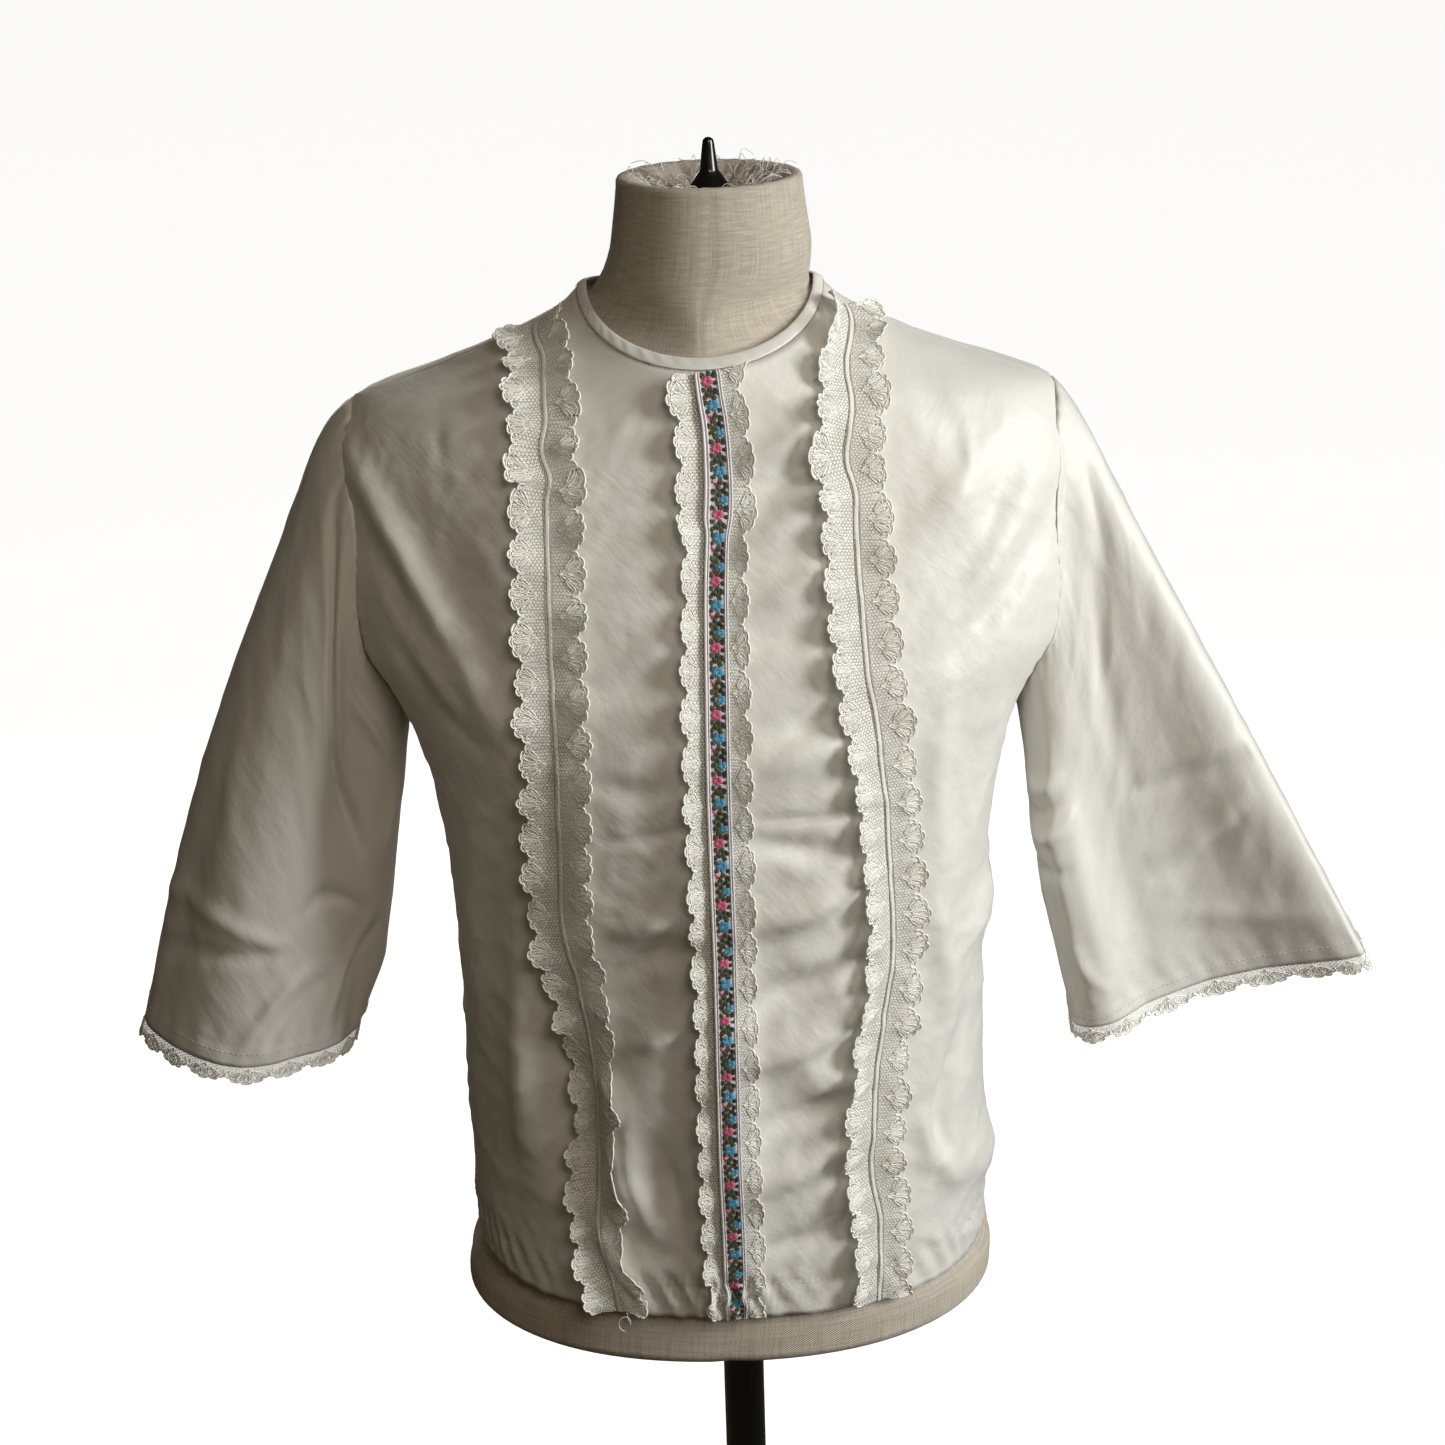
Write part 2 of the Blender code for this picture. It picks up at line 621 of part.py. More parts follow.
def ribbon_strip(name, panel, table):
    """The woven ribbon down the centre front, on the lace's flat middle."""
    middle = even_middle(panel, table, RIBBON_ROWS)
    half = np.full(RIBBON_ROWS, RIBBON_HALF_WIDTH)
    floor = ON_CLOTH + LACE + ON_LACE
    under = []
    over = []
    for place in strip_places(panel, middle, (-half, 0 * half, half)):
        under.append(panel.point(*place, 0 * half + floor))
        over.append(panel.point(*place, 0 * half + floor + RIBBON))
    return wall(name, np.stack(over, 1), np.stack(under, 1), "ribbon")


def make_front():
    columns = np.linspace(-1, 1, FRONT_COLUMNS + 1)
    outer, normals = body_panel(columns, -1)
    wall("blouse_front", outer, outer - normals * CLOTH, "cotton")
    return Panel(columns, outer, normals)


def make_backs():
    """The two back panels, which meet in the middle."""
    panels = {}
    for name, sign in (("blouse_back_right", -1), ("blouse_back_left", 1)):
        columns = sign * np.linspace(0, 1, BACK_COLUMNS + 1)
        columns = np.sort(columns)
        outer, normals = body_panel(columns, 1)
        wall(name, outer, outer - normals * CLOTH, "cotton")
        panels[name] = Panel(columns, outer, normals)
    return panels


def make_button(panel):
    """The button at the top of the centre back opening: small and round, with a raised rim."""
    at = (np.zeros(1), np.array([BUTTON_AT]))
    place = panel.point(*at, np.zeros(1))[0]
    normal = panel.mixed(panel.normals, *at)[0]
    normal = normal * np.sign(normal[1]) / np.linalg.norm(normal)
    side = np.cross(normal, (0.0, 0.0, 1.0))
    side = side / np.linalg.norm(side)
    up = np.cross(side, normal)
    profile = ((0.7, 0.0), (1.0, 0.35), (0.98, 0.85), (0.82, 1.0), (0.62, 0.8))
    rings = []
    for width, rise in profile:
        ring = []
        for i in range(12):
            swing = 2 * math.pi * i / 12
            spread = (side * math.cos(swing) + up * math.sin(swing)) * BUTTON_RADIUS * width
            ring.append(tuple(place + normal * (ON_CLOTH + BUTTON_THICK * rise) + spread))
        rings.append(ring)
    loft("back_button", rings, "button")


def make_binding():
    """The bias binding that stands round the neckline, open at the centre back."""
    turn = np.linspace(-1, 1, BINDING_COLUMNS + 1) * (math.pi - BACK_OPENING)
    low = ring_on_neck(BINDING_LOW, turn)
    high = ring_on_neck(BINDING_HIGH, turn)
    width = high - low
    low = low + width / np.linalg.norm(width, axis=1, keepdims=True) * SEAM_GAP
    outer = np.stack([low, high])
    normals = grid_normals(outer)
    if normals[..., 2].mean() < 0:
        normals = -normals
    inner = outer - normals * BINDING_THICK
    level = width * (1, 1, 0)
    inner[0] = low + level / np.linalg.norm(level, axis=1, keepdims=True) * BINDING_THICK
    wall("neck_binding", outer, inner, "cotton")


def armhole_point(turn, side):
    """A point of the armhole edge. turn is 0 at the shoulder tip, a quarter turn at the front."""
    height = (ARMPIT + SHOULDER_TIP) / 2 + (SHOULDER_TIP - ARMPIT) / 2 * np.cos(turn)
    middle, half, front, back, power = section(BODY_SECTIONS, height)
    depth = np.where(np.sin(turn) >= 0, front, back)
    y = -ARMHOLE_HALF_DEPTH * np.sin(turn)
    reach = half * np.clip(1 - (np.abs(y) / depth) ** power, 0, 1) ** (1 / power)
    return np.stack([middle + side * reach, y, height], -1)


def sleeve_surface(name, turn, along):
    """Outer points of a sleeve. turn is 0 on the outer edge, along is 0 at the armhole and 1 at the hem."""
    side, hem_x, hem_z, half_width, half_depth, tilt, bow, hem_y = SLEEVES[name]
    start = armhole_point(turn, side) + np.array([side * ARMHOLE_GAP, 0, 0])
    lean = math.radians(tilt)
    outward = np.array([side * math.cos(lean), 0, math.sin(lean)])
    centre = np.array([side * hem_x, hem_y, hem_z])
    hem = centre + outward * (half_width * np.cos(turn))[..., None]
    hem = hem + np.array([0, -half_depth, 0]) * np.sin(turn)[..., None]
    share = along[..., None]
    points = start * (1 - share) + hem * share
    middle_axis = centre - np.array([side * 0.195, 0, (ARMPIT + SHOULDER_TIP) / 2])
    middle_axis = middle_axis / np.linalg.norm(middle_axis)
    away = np.cross(middle_axis, (0, 1, 0))
    away = away * np.sign(away[0] * side)
    outer_share = ((1 + np.cos(turn)) / 2) ** 2
    head = SLEEVE_HEAD * along / SLEEVE_HEAD_AT * np.exp(1 - along / SLEEVE_HEAD_AT)
    swell = head * outer_share + bow * np.sin(np.clip(along, 0, 1) * math.pi) * outer_share
    points = points + away * swell[..., None]
    round_out = -np.sin(turn) * np.sin(np.clip(along, 0, 1) * math.pi) * 0.004
    points[..., 1] += round_out
    return points


def sleeve_folds(name, turn, along):
    found = np.zeros(np.shape(turn))
    for turn_deg, half_deg, start, end, height in SLEEVE_FOLDS[name]:
        away = turn - math.radians(turn_deg)
        off = np.degrees(np.arctan2(np.sin(away), np.cos(away)))
        reach = smooth_step(start, (start + end) / 2, along)
        reach = reach * (1 - 0.6 * smooth_step((start + end) / 2, end, along))
        found = found + height * np.exp(-((off / half_deg) ** 2)) * reach
    return found


def sleeve_grid(name, turns, shares):
    along, turn = np.meshgrid(shares, turns, indexing="ij")
    plain = sleeve_surface(name, turn, along)
    normals = grid_normals(plain, closed=True)
    middle = plain.mean(axis=1, keepdims=True)
    if ((plain - middle) * normals).sum() < 0:
        normals = -normals
    return plain + normals * sleeve_folds(name, turn, along)[..., None], normals


def make_sleeve(name):
    """A flared sleeve set into its armhole, and the scalloped lace edging round its hem."""
    turns = np.linspace(0, 2 * math.pi, SLEEVE_TURNS, endpoint=False)
    shares = np.concatenate([[0, 0.03, 0.07, 0.13], np.linspace(0.22, 1, SLEEVE_RINGS - 3)])
    outer, normals = sleeve_grid(name, turns, shares)
    inward = outer - normals * CLOTH
    inward[0] = outer[0] - (outer[0] - outer[0].mean(axis=0)) / 60 * (1, 1, 1)
    wall(name, outer, inward, "cotton", closed=True)

    rows = CUFF_SCALLOPS * ROWS_PER_SCALLOP
    fine = np.linspace(0, 2 * math.pi, rows, endpoint=False)
    place = fine / (2 * math.pi) * SLEEVE_TURNS
    column = np.floor(place).astype(int) % SLEEVE_TURNS
    share = (place - np.floor(place))[:, None]
    following = (column + 1) % SLEEVE_TURNS
    edge = outer[-1][column] * (1 - share) + outer[-1][following] * share
    above = outer[-2][column] * (1 - share) + outer[-2][following] * share
    normal = normals[-1][column] * (1 - share) + normals[-1][following] * share
    normal = normal / np.linalg.norm(normal, axis=1, keepdims=True)
    down = edge - above
    down = down / np.linalg.norm(down, axis=1, keepdims=True)
    count = np.arange(rows) / ROWS_PER_SCALLOP
    reach = CUFF_VALLEY + (CUFF_TIP - CUFF_VALLEY) * scallop(count)
    wave = 0.0012 * np.sin(count * math.pi)
    root = edge + down * SEAM_GAP
    tip = edge + down * reach[:, None] + normal * wave[:, None]
    thick = normal * LACE
    lace_name = name.replace("sleeve", "cuff_lace")
    wall(lace_name, np.stack([root, tip]), np.stack([root - thick, tip - thick]), "lace", closed=True)


def form_ring(height, middle, half, front, back, power):
    ring = []
    for i in range(FORM_SIDES):
        turn = 2 * math.pi * i / FORM_SIDES
        x = math.copysign(abs(math.sin(turn)) ** (2 / power), math.sin(turn)) * half
        y = -math.copysign(abs(math.cos(turn)) ** (2 / power), math.cos(turn))
        ring.append((middle + x, y * (front if y < 0 else back), height))
    return ring


def make_form():
    """The padded linen torso and neck: one whole solid, just inside the cloth where it carries it."""
    loft("form_body", [form_ring(*row) for row in FORM_SECTIONS], "linen")


def make_stand():
    """The upright pole, its plain round foot, and the short spike that shows above the neck."""
    base = (
        (BASE_RADIUS - 0.003, 0.0),
        (BASE_RADIUS, 0.003),
        (BASE_RADIUS, BASE_EDGE - 0.003),
        (BASE_RADIUS - 0.006, BASE_EDGE),
        (BASE_RADIUS * 0.62, BASE_EDGE + 0.008),
        (BASE_RADIUS * 0.28, BASE_RISE),
        (COLLAR_RADIUS, BASE_RISE + 0.010),
        (COLLAR_RADIUS, COLLAR_TOP - 0.002),
        (COLLAR_RADIUS - 0.002, COLLAR_TOP),
    )
    turned("stand_base", base, "black_metal", sides=40)
    low = COLLAR_TOP + 0.0003
    high = FORM_BOTTOM - 0.0003
    pole = ((POLE_RADIUS - 0.0006, low), (POLE_RADIUS, low + 0.0006), (POLE_RADIUS, high))
    turned("stand_pole", pole, "black_metal", sides=24)
    foot = SPIKE_FLOOR + 0.0003
    spike = (
        (0.0115, foot),
        (0.0105, foot + 0.0030),
        (0.0065, foot + 0.0060),
        (0.0045, foot + 0.0110),
        (0.0036, SPIKE_TOP - 0.0050),
        (0.0030, SPIKE_TOP - 0.0012),
        (0.0016, SPIKE_TOP),
    )
    turned("neck_spike", spike, "black_metal", sides=14)


def main():
    clear_scene()
    front = make_front()
    backs = make_backs()
    make_button(backs["blouse_back_left"])
    make_binding()
    for name in SLEEVES:
        make_sleeve(name)
    side = (SIDE_SCALLOPS, LACE_ROOT, LACE_VALLEY, LACE_TIP)
    centre = (CENTRE_SCALLOPS, CENTRE_ROOT, CENTRE_VALLEY, CENTRE_TIP)
    lace_strip("side_lace_right", front, SIDE_LACE_RIGHT, *side, 0.50)
    lace_strip("side_lace_left", front, SIDE_LACE_LEFT, *side, 0.40)
    lace_strip("centre_lace", front, CENTRE_LACE, *centre, 0.45)
    ribbon_strip("floral_ribbon", front, CENTRE_LACE)
    make_form()
    make_stand()


main()
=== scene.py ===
"""Lace blouse on a linen dress form: the looks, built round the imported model.

Metres, +Z up, the front faces -Y, the wearer's left is +X. The cloth repeats the formulas of the
part's source at a finer pitch, and every trim is laid on the points of the cloth it is sewn to.
"""

import math
from functools import cache

import bpy
import numpy as np
from mathutils import Matrix, Vector


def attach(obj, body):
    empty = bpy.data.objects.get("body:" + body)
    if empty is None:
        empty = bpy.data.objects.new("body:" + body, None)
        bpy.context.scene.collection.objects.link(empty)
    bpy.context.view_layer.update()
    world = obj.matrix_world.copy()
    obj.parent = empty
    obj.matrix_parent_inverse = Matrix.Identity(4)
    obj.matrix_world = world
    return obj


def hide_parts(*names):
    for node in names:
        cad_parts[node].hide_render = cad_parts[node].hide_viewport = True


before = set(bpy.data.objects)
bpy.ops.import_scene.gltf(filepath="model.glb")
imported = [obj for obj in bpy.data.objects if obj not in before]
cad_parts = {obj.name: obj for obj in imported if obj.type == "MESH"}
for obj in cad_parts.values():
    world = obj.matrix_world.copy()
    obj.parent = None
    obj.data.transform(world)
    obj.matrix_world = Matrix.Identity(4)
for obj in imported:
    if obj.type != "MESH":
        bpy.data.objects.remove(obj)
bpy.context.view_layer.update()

bl_info = {
    "name": "Lace blouse on a dress form",
    "version": (1, 0, 0),
    "blender": (4, 5, 0),
    "location": "3D View > Sidebar > Blouse",
    "description": "Builds a lace trimmed cotton blouse on its linen dress form",
    "category": "Object",
}

# Cloth of the body, as in the part's source
HEM = 0.4845
HEM_SIDE_RISE = 0.0180
HEM_BACK_RISE = 0.0060
HEM_LEAN = 0.0035
ARMPIT = 0.833
SHOULDER_TIP = 1.020
ARMHOLE_HALF_DEPTH = 0.050
LEVEL_BELOW = 0.745
SEAM_GAP = 0.0004
ARMHOLE_GAP = 0.0005
ON_CLOTH = 0.0007

# Edges of the neck binding: half_width, front, front_height, back, back_height, side_height
BINDING_LOW = (0.0685, 0.0745, 1.0470, 0.0620, 1.0700, 1.0800)
BINDING_HIGH = (0.0640, 0.0680, 1.0520, 0.0580, 1.0750, 1.0830)

BINDING_WIDTH = 0.0075

# Cloth that stays flat beside the ribbon and beside the back opening, from the centre line out
RIBBON_CLEAR = (0.0085, 0.0430)
OPENING_CLEAR = (0.0, 0.0200)
# Wave lengths of the cloth's faint rumples and of its pinched crumples, and their heights
BODY_RUMPLES = (0.030, 0.014, 0.009)
SLEEVE_RUMPLES = (0.060, 0.030)
CRUMPLES = (0.075, 0.045)
BODY_RUMPLE = 0.00022
SLEEVE_RUMPLE = 0.00020
BODY_CRUMPLE = 0.0015
SLEEVE_CRUMPLE = 0.0004
# Gaps between the puckers of the hem, a seam, the neck binding and a sleeve's hem
HEM_PUCKER = 0.0125
SEAM_PUCKER = 0.0110
BINDING_PUCKER = 0.0105
CUFF_PUCKER = 0.0140

# Sections of the worn cloth: height, middle_x, half_width, front, back, squareness
BODY_SECTIONS = (
    (0.47, -0.0045, 0.159, 0.123, 0.121, 2.25),
    (0.545, -0.005, 0.16, 0.126, 0.118, 2.25),
    (0.605, -0.006, 0.1595, 0.127, 0.109, 2.25),
    (0.665, -0.006, 0.1585, 0.129, 0.101, 2.25),
    (0.725, -0.006, 0.16, 0.133, 0.099, 2.25),
    (0.785, -0.0065, 0.166, 0.137, 0.103, 2.2),
    (0.833, -0.007, 0.178, 0.136, 0.11, 2.2),
    (0.855, -0.007, 0.189, 0.132, 0.113, 2.2),
    (0.885, -0.007, 0.207, 0.125, 0.115, 2.2),
    (0.925, -0.007, 0.215, 0.112, 0.114, 2.2),
    (0.975, -0.007, 0.2155, 0.095, 0.105, 2.2),
    (1.005, -0.007, 0.208, 0.085, 0.095, 2.0),
    (1.02, -0.007, 0.1985, 0.0805, 0.089, 1.85),
    (1.04, -0.007, 0.146, 0.076, 0.079, 1.6),
    (1.052, -0.007, 0.115, 0.072, 0.072, 1.45),
    (1.061, -0.007, 0.095, 0.069, 0.067, 1.4),
    (1.071, -0.007, 0.0775, 0.065, 0.0615, 1.4),
    (1.08, -0.007, 0.0685, 0.061, 0.057, 1.5),
    (1.1, -0.007, 0.06, 0.056, 0.054, 1.8),
)
# Sections of the dress form in the same columns
FORM_SECTIONS = (
    (0.445, -0.007, 0.148, 0.108, 0.108, 2.2),
    (0.448, -0.007, 0.16, 0.116, 0.115, 2.2),
    (0.455, -0.007, 0.166, 0.12, 0.118, 2.2),
    (0.468, -0.006, 0.1655, 0.12, 0.118, 2.2),
    (0.485, -0.0045, 0.156, 0.118, 0.115, 2.2),
    (0.545, -0.003, 0.149, 0.112, 0.108, 2.2),
    (0.605, 0.0, 0.133, 0.099, 0.093, 2.1),
    (0.665, 0.0, 0.119, 0.089, 0.082, 2.1),
    (0.71, 0.0, 0.118, 0.091, 0.08, 2.1),
    (0.755, 0.0, 0.127, 0.105, 0.086, 2.1),
    (0.8, 0.0, 0.141, 0.122, 0.094, 2.1),
    (0.84, 0.0, 0.153, 0.127, 0.101, 2.15),
    (0.885, -0.001, 0.166, 0.118, 0.106, 2.2),
    (0.925, -0.002, 0.176, 0.106, 0.106, 2.2),
    (0.975, -0.004, 0.183, 0.089, 0.099, 2.2),
    (1.003, -0.006, 0.182, 0.078, 0.089, 2.0),
    (1.012, -0.007, 0.1805, 0.0775, 0.088, 1.91),
    (1.018, -0.007, 0.178, 0.077, 0.0865, 1.85),
    (1.024, -0.007, 0.173, 0.0765, 0.084, 1.78),
    (1.03, -0.007, 0.165, 0.076, 0.0812, 1.7),
    (1.037, -0.007, 0.148, 0.0742, 0.0775, 1.6),
    (1.044, -0.007, 0.129, 0.0705, 0.0735, 1.48),
    (1.05, -0.007, 0.114, 0.0665, 0.07, 1.35),
    (1.056, -0.007, 0.1003, 0.065, 0.066, 1.28),
    (1.062, -0.007, 0.0882, 0.0637, 0.0625, 1.25),
    (1.068, -0.007, 0.078, 0.062, 0.059, 1.28),
    (1.074, -0.007, 0.0685, 0.06, 0.0555, 1.4),
    (1.078, -0.0065, 0.061, 0.0585, 0.055, 1.6),
    (1.088, -0.003, 0.058, 0.0565, 0.0545, 1.9),
    (1.105, 0.0, 0.0558, 0.0545, 0.0535, 2.0),
    (1.125, 0.0, 0.053, 0.0525, 0.052, 2.0),
    (1.135, 0.0, 0.0518, 0.0515, 0.0512, 2.0),
)

# Mean radius of the form, by which the linen's grain is spread round it
FORM_RADIUS = 0.13

# Soft folds seen from the front, in millimetres: x0, z0, x1, z1, bow, half_width, height
FRONT_FOLDS = (
    (-190, 965, -165, 850, 0, 10, -2),
    (-112, 985, -85, 900, 0, 12, 1.2),
    (-128, 700, -118, 560, 0, 12, 6),
    (-98, 690, -90, 530, 0, 18, -7),
    (-70, 780, -110, 700, 0, 15, 3),
    (-30, 700, -70, 600, 0, 18, 4.5),
    (-20, 620, -55, 540, 0, 12, -3.5),
    (30, 720, 75, 700, 0, 14, 3.5),
    (25, 655, 80, 620, 0, 14, 3.5),
    (30, 600, 80, 570, 0, 12, -3),
    (150, 840, 105, 700, 0, 16, 4.5),
    (162, 990, 120, 880, 0, 14, -3),
    (110, 1020, 150, 930, 0, 12, 2.5),
    (168, 735, 135, 690, 0, 14, 6),
    (172, 525, 135, 560, 0, 16, 6.5),
    (120, 660, 128, 560, 0, 14, 3.5),
)
# Finer creases of the front, in the same columns
FRONT_CREASES = (
    (-209, 1004, -143, 893, 0, 8, 6.2),
    (-143, 893, -124, 850, 0, 8, 3.8),
    (-176, 985, -120, 885, 0, 16, -4.3),
    (-190, 930, -140, 850, 4, 7, 2.9),
    (-178, 895, -128, 838, 5, 7, -2.9),
    (-153, 1018, -150, 997, 1, 3, -1.4),
    (-148, 997, -136, 985, 1, 3, 1.2),
    (-132, 960, -118, 935, 2, 5, 1.7),
    (-140, 800, -146, 640, 6, 8, 3.8),
    (-122, 750, -124, 590, -3, 6.8, 5.7),
    (-101, 705, -88, 590, 3, 10.2, -7.6),
    (-8, 775, -4, 505, 0, 19.5, 9.9),
    (-70, 880, -24, 897, 2, 8, -3.1),
    (-49, 900, -22, 909, 0, 6, 2.4),
    (-68, 829, -36, 828, 2, 7, -3.6),
    (-68, 796, -24, 806, 1, 3.4, -3.6),
    (-70, 742, -24, 758, 3, 7.6, 6.2),
    (-74, 710, -24, 734, -2, 7.6, -6.2),
    (-60, 668, -26, 690, 3, 5.9, 5.3),
    (-66, 604, -50, 545, 3, 8.1, 8.1),
    (-44, 596, -34, 536, -3, 5.9, -5.7),
    (-86, 560, -70, 512, 2, 5.1, 6),
    (18, 998, 63, 1024, 1, 7, 3.8),
    (18, 980, 62, 1006, 1, 6, -3.4),
    (18, 958, 62, 984, 1, 7, 3.8),
    (20, 926, 60, 944, 2, 7.5, 3.8),
    (18, 905, 62, 920, 1, 7, -2.9),
    (28, 857, 71, 874, 2, 8, -4.8),
    (14, 838, 66, 850, 1, 8, 2.9),
    (13, 810, 70, 808, 1, 3, -2.2),
    (14, 796, 62, 788, 2, 6.8, -4.8),
    (10, 744, 72, 768, 3, 9.3, 8.1),
    (12, 692, 72, 713, -3, 9.3, -8.1),
    (10, 656, 70, 682, 3, 8.5, 7.1),
    (14, 610, 74, 630, -2, 8.5, -7.6),
    (10, 573, 70, 602, 3, 8.5, 7.1),
    (12, 530, 72, 546, 1, 6.8, -5.2),
    (115, 900, 176, 977, 3, 9, 4.4),
    (131, 890, 188, 960, 3, 8, -3.8),
    (101, 945, 157, 1006, 2, 11, 3.6),
    (137, 1004, 136, 987, 0, 2.5, 2.2),
    (112, 1036, 126, 1012, 1, 7, -2.2),
    (124, 872, 116, 756, 4, 8, 4.3),
    (142, 830, 128, 760, 3, 8, -3.8),
    (112, 740, 126, 640, -4, 7.6, 5.2),
    (132, 650, 118, 560, 3, 6.8, -6.7),
    (108, 600, 130, 545, 3, 5.9, 6),
)
# Folds and creases of the back, in the same columns
BACK_FOLDS = (
    (-150, 840, -90, 690, 0, 18, 5),
    (150, 835, 85, 700, 0, 18, 5),
    (-80, 680, -95, 520, 0, 16, 5),
    (75, 670, 100, 520, 0, 16, 5),
    (-45, 640, -40, 520, 0, 14, -4),
    (45, 650, 52, 530, 0, 14, -4),
    (-165, 980, -120, 890, 0, 14, 3),
    (165, 980, 120, 890, 0, 14, 3),
)
BACK_CREASES = (
    (-160, 900, -110, 860, 4, 7, 2.3),
    (-150, 800, -100, 760, 5, 7, -2.3),
    (-130, 700, -80, 640, 4, 7, 2.7),
    (-60, 780, -20, 700, -4, 7, 2.3),
    (-110, 620, -118, 540, 4, 6, -2.7),
    (155, 905, 112, 850, 4, 7, 2.3),
    (146, 790, 96, 742, 5, 7, -2.3),
    (132, 690, 90, 640, 4, 7, 2.7),
    (56, 800, 24, 720, -4, 7, 2.3),
    (112, 610, 120, 530, 4, 6, -2.7),
    (30, 620, 12, 560, 3, 6, 1.9),
)

# Sleeves: side, hem_x, hem_z, hem_half_width, hem_half_depth, hem_tilt_deg, bow, hem_y
SLEEVES = {
    "sleeve_right": (-1, 0.2890, 0.6380, 0.0710, 0.0650, 4.0, 0.016, -0.004),
    "sleeve_left": (1, 0.2945, 0.6450, 0.0905, 0.0220, 15.0, 0.002, -0.006),
}
# Lengthwise folds: turn_deg, half_width_deg, start, end, height
SLEEVE_FOLDS = {
    "sleeve_right": (
        (118.0, 16.0, 0.05, 0.85, -0.008),
        (70.0, 20.0, 0.3, 1.0, 0.005),
        (150.0, 14.0, 0.55, 1.1, -0.009),
        (35.0, 14.0, 0.55, 1.0, -0.004),
        (180.0, 24.0, 0.78, 1.3, -0.011),
        (235.0, 20.0, 0.2, 1.05, -0.006),
        (290.0, 20.0, 0.35, 1.05, 0.005),
    ),
    "sleeve_left": (
        (150.0, 16.0, 0.1, 0.8, 0.008),
        (125.0, 13.0, 0.15, 0.9, -0.0045),
        (50.0, 22.0, 0.3, 0.95, 0.003),
        (235.0, 20.0, 0.25, 1.0, 0.004),
        (200.0, 16.0, 0.1, 0.7, -0.005),
    ),
}
# Finer creases of a sleeve: turn0_deg, along0, turn1_deg, along1, bow_deg, half_width_deg, height
SLEEVE_CREASES = {
    "sleeve_right": (
        (52.0, 0.03, 110.0, 0.3, 5.0, 3.2, -0.0064),
        (108.0, 0.28, 136.0, 0.44, 2.0, 3.2, -0.0062),
        (62.0, 0.05, 122.0, 0.34, 5.0, 7.0, 0.0033),
        (112.0, 0.13, 146.0, 0.18, 3.0, 3.2, 0.0033),
        (100.0, 0.1, 140.0, 0.12, 3.0, 3.2, -0.0024),
        (4.0, 0.79, 98.0, 0.73, 2.0, 2.8, 0.0033),
        (12.0, 0.87, 98.0, 0.74, -2.0, 2.8, -0.0033),
        (88.0, 0.93, 114.0, 0.78, 2.0, 2.8, 0.0033),
        (98.0, 0.95, 124.0, 0.8, 2.0, 2.8, -0.0027),
        (104.0, 0.66, 142.0, 0.6, 6.0, 3.2, -0.003),
        (124.0, 0.98, 152.0, 0.62, 4.0, 4.0, 0.0039),
        (136.0, 0.98, 160.0, 0.66, 4.0, 4.0, -0.0033),
        (40.0, 0.45, 60.0, 0.72, 3.0, 7.0, 0.0018),
        (160.0, 0.2, 150.0, 0.45, 3.0, 6.0, 0.0024),
        (230.0, 0.3, 250.0, 0.8, 4.0, 6.0, 0.0021),
        (270.0, 0.6, 300.0, 0.72, 4.0, 6.0, -0.0021),
        (310.0, 0.2, 330.0, 0.55, 4.0, 6.0, 0.0018),
    ),
    "sleeve_left": (
        (16.0, 0.06, 62.0, 0.18, 3.0, 7.0, -0.0024),
        (60.0, 0.17, 96.0, 0.32, 4.0, 8.0, -0.0027),
        (96.0, 0.3, 118.0, 1.0, 3.0, 11.0, -0.0024),
        (164.0, 0.12, 158.0, 1.02, 4.0, 10.0, 0.0045),
        (140.0, 0.2, 146.0, 0.96, 5.0, 4.0, 0.0027),
        (90.0, 0.51, 24.0, 0.58, 2.0, 2.4, 0.0024),
        (95.0, 0.53, 26.0, 0.61, 2.0, 2.4, -0.0024),
        (98.0, 0.67, 38.0, 0.66, 3.0, 3.2, 0.0023),
        (100.0, 0.72, 52.0, 0.7, 3.0, 3.2, -0.0019),
        (96.0, 0.82, 30.0, 0.91, 3.0, 4.0, 0.0018),
        (160.0, 0.25, 138.0, 0.3, 2.0, 3.2, 0.0044),
        (166.0, 0.32, 142.0, 0.35, 3.0, 3.0, -0.0044),
        (160.0, 0.4, 134.0, 0.41, 3.0, 3.2, 0.0047),
        (168.0, 0.46, 144.0, 0.53, 3.0, 3.0, -0.004),
        (150.0, 0.72, 138.0, 0.9, 3.0, 3.2, 0.0027),
        (250.0, 0.35, 280.0, 0.6, 4.0, 7.0, 0.0021),
        (230.0, 0.6, 270.0, 0.78, 4.0, 6.0, -0.0021),
        (300.0, 0.5, 310.0, 0.85, 4.0, 7.0, 0.0018),
    ),
}
SLEEVE_HEAD = 0.0075
SLEEVE_HEAD_AT = 0.07
SLEEVE_HEM = 0.012
SLEEVE_ROUNDING = 0.004
SHOULDER_X = 0.195
# Front of the left sleeve's hem, flat outside and rolled inside: cosine of turn, share of depth
HEM_FRONT = (
    (-1.0, -0.95, -0.74, -0.35, 0.0, 0.3, 0.6, 0.955, 0.985, 1.0),
    (0.0, 0.8, 1.35, 0.7, 0.44, 0.54, 0.88, 1.34, 1.22, 0.0),
)

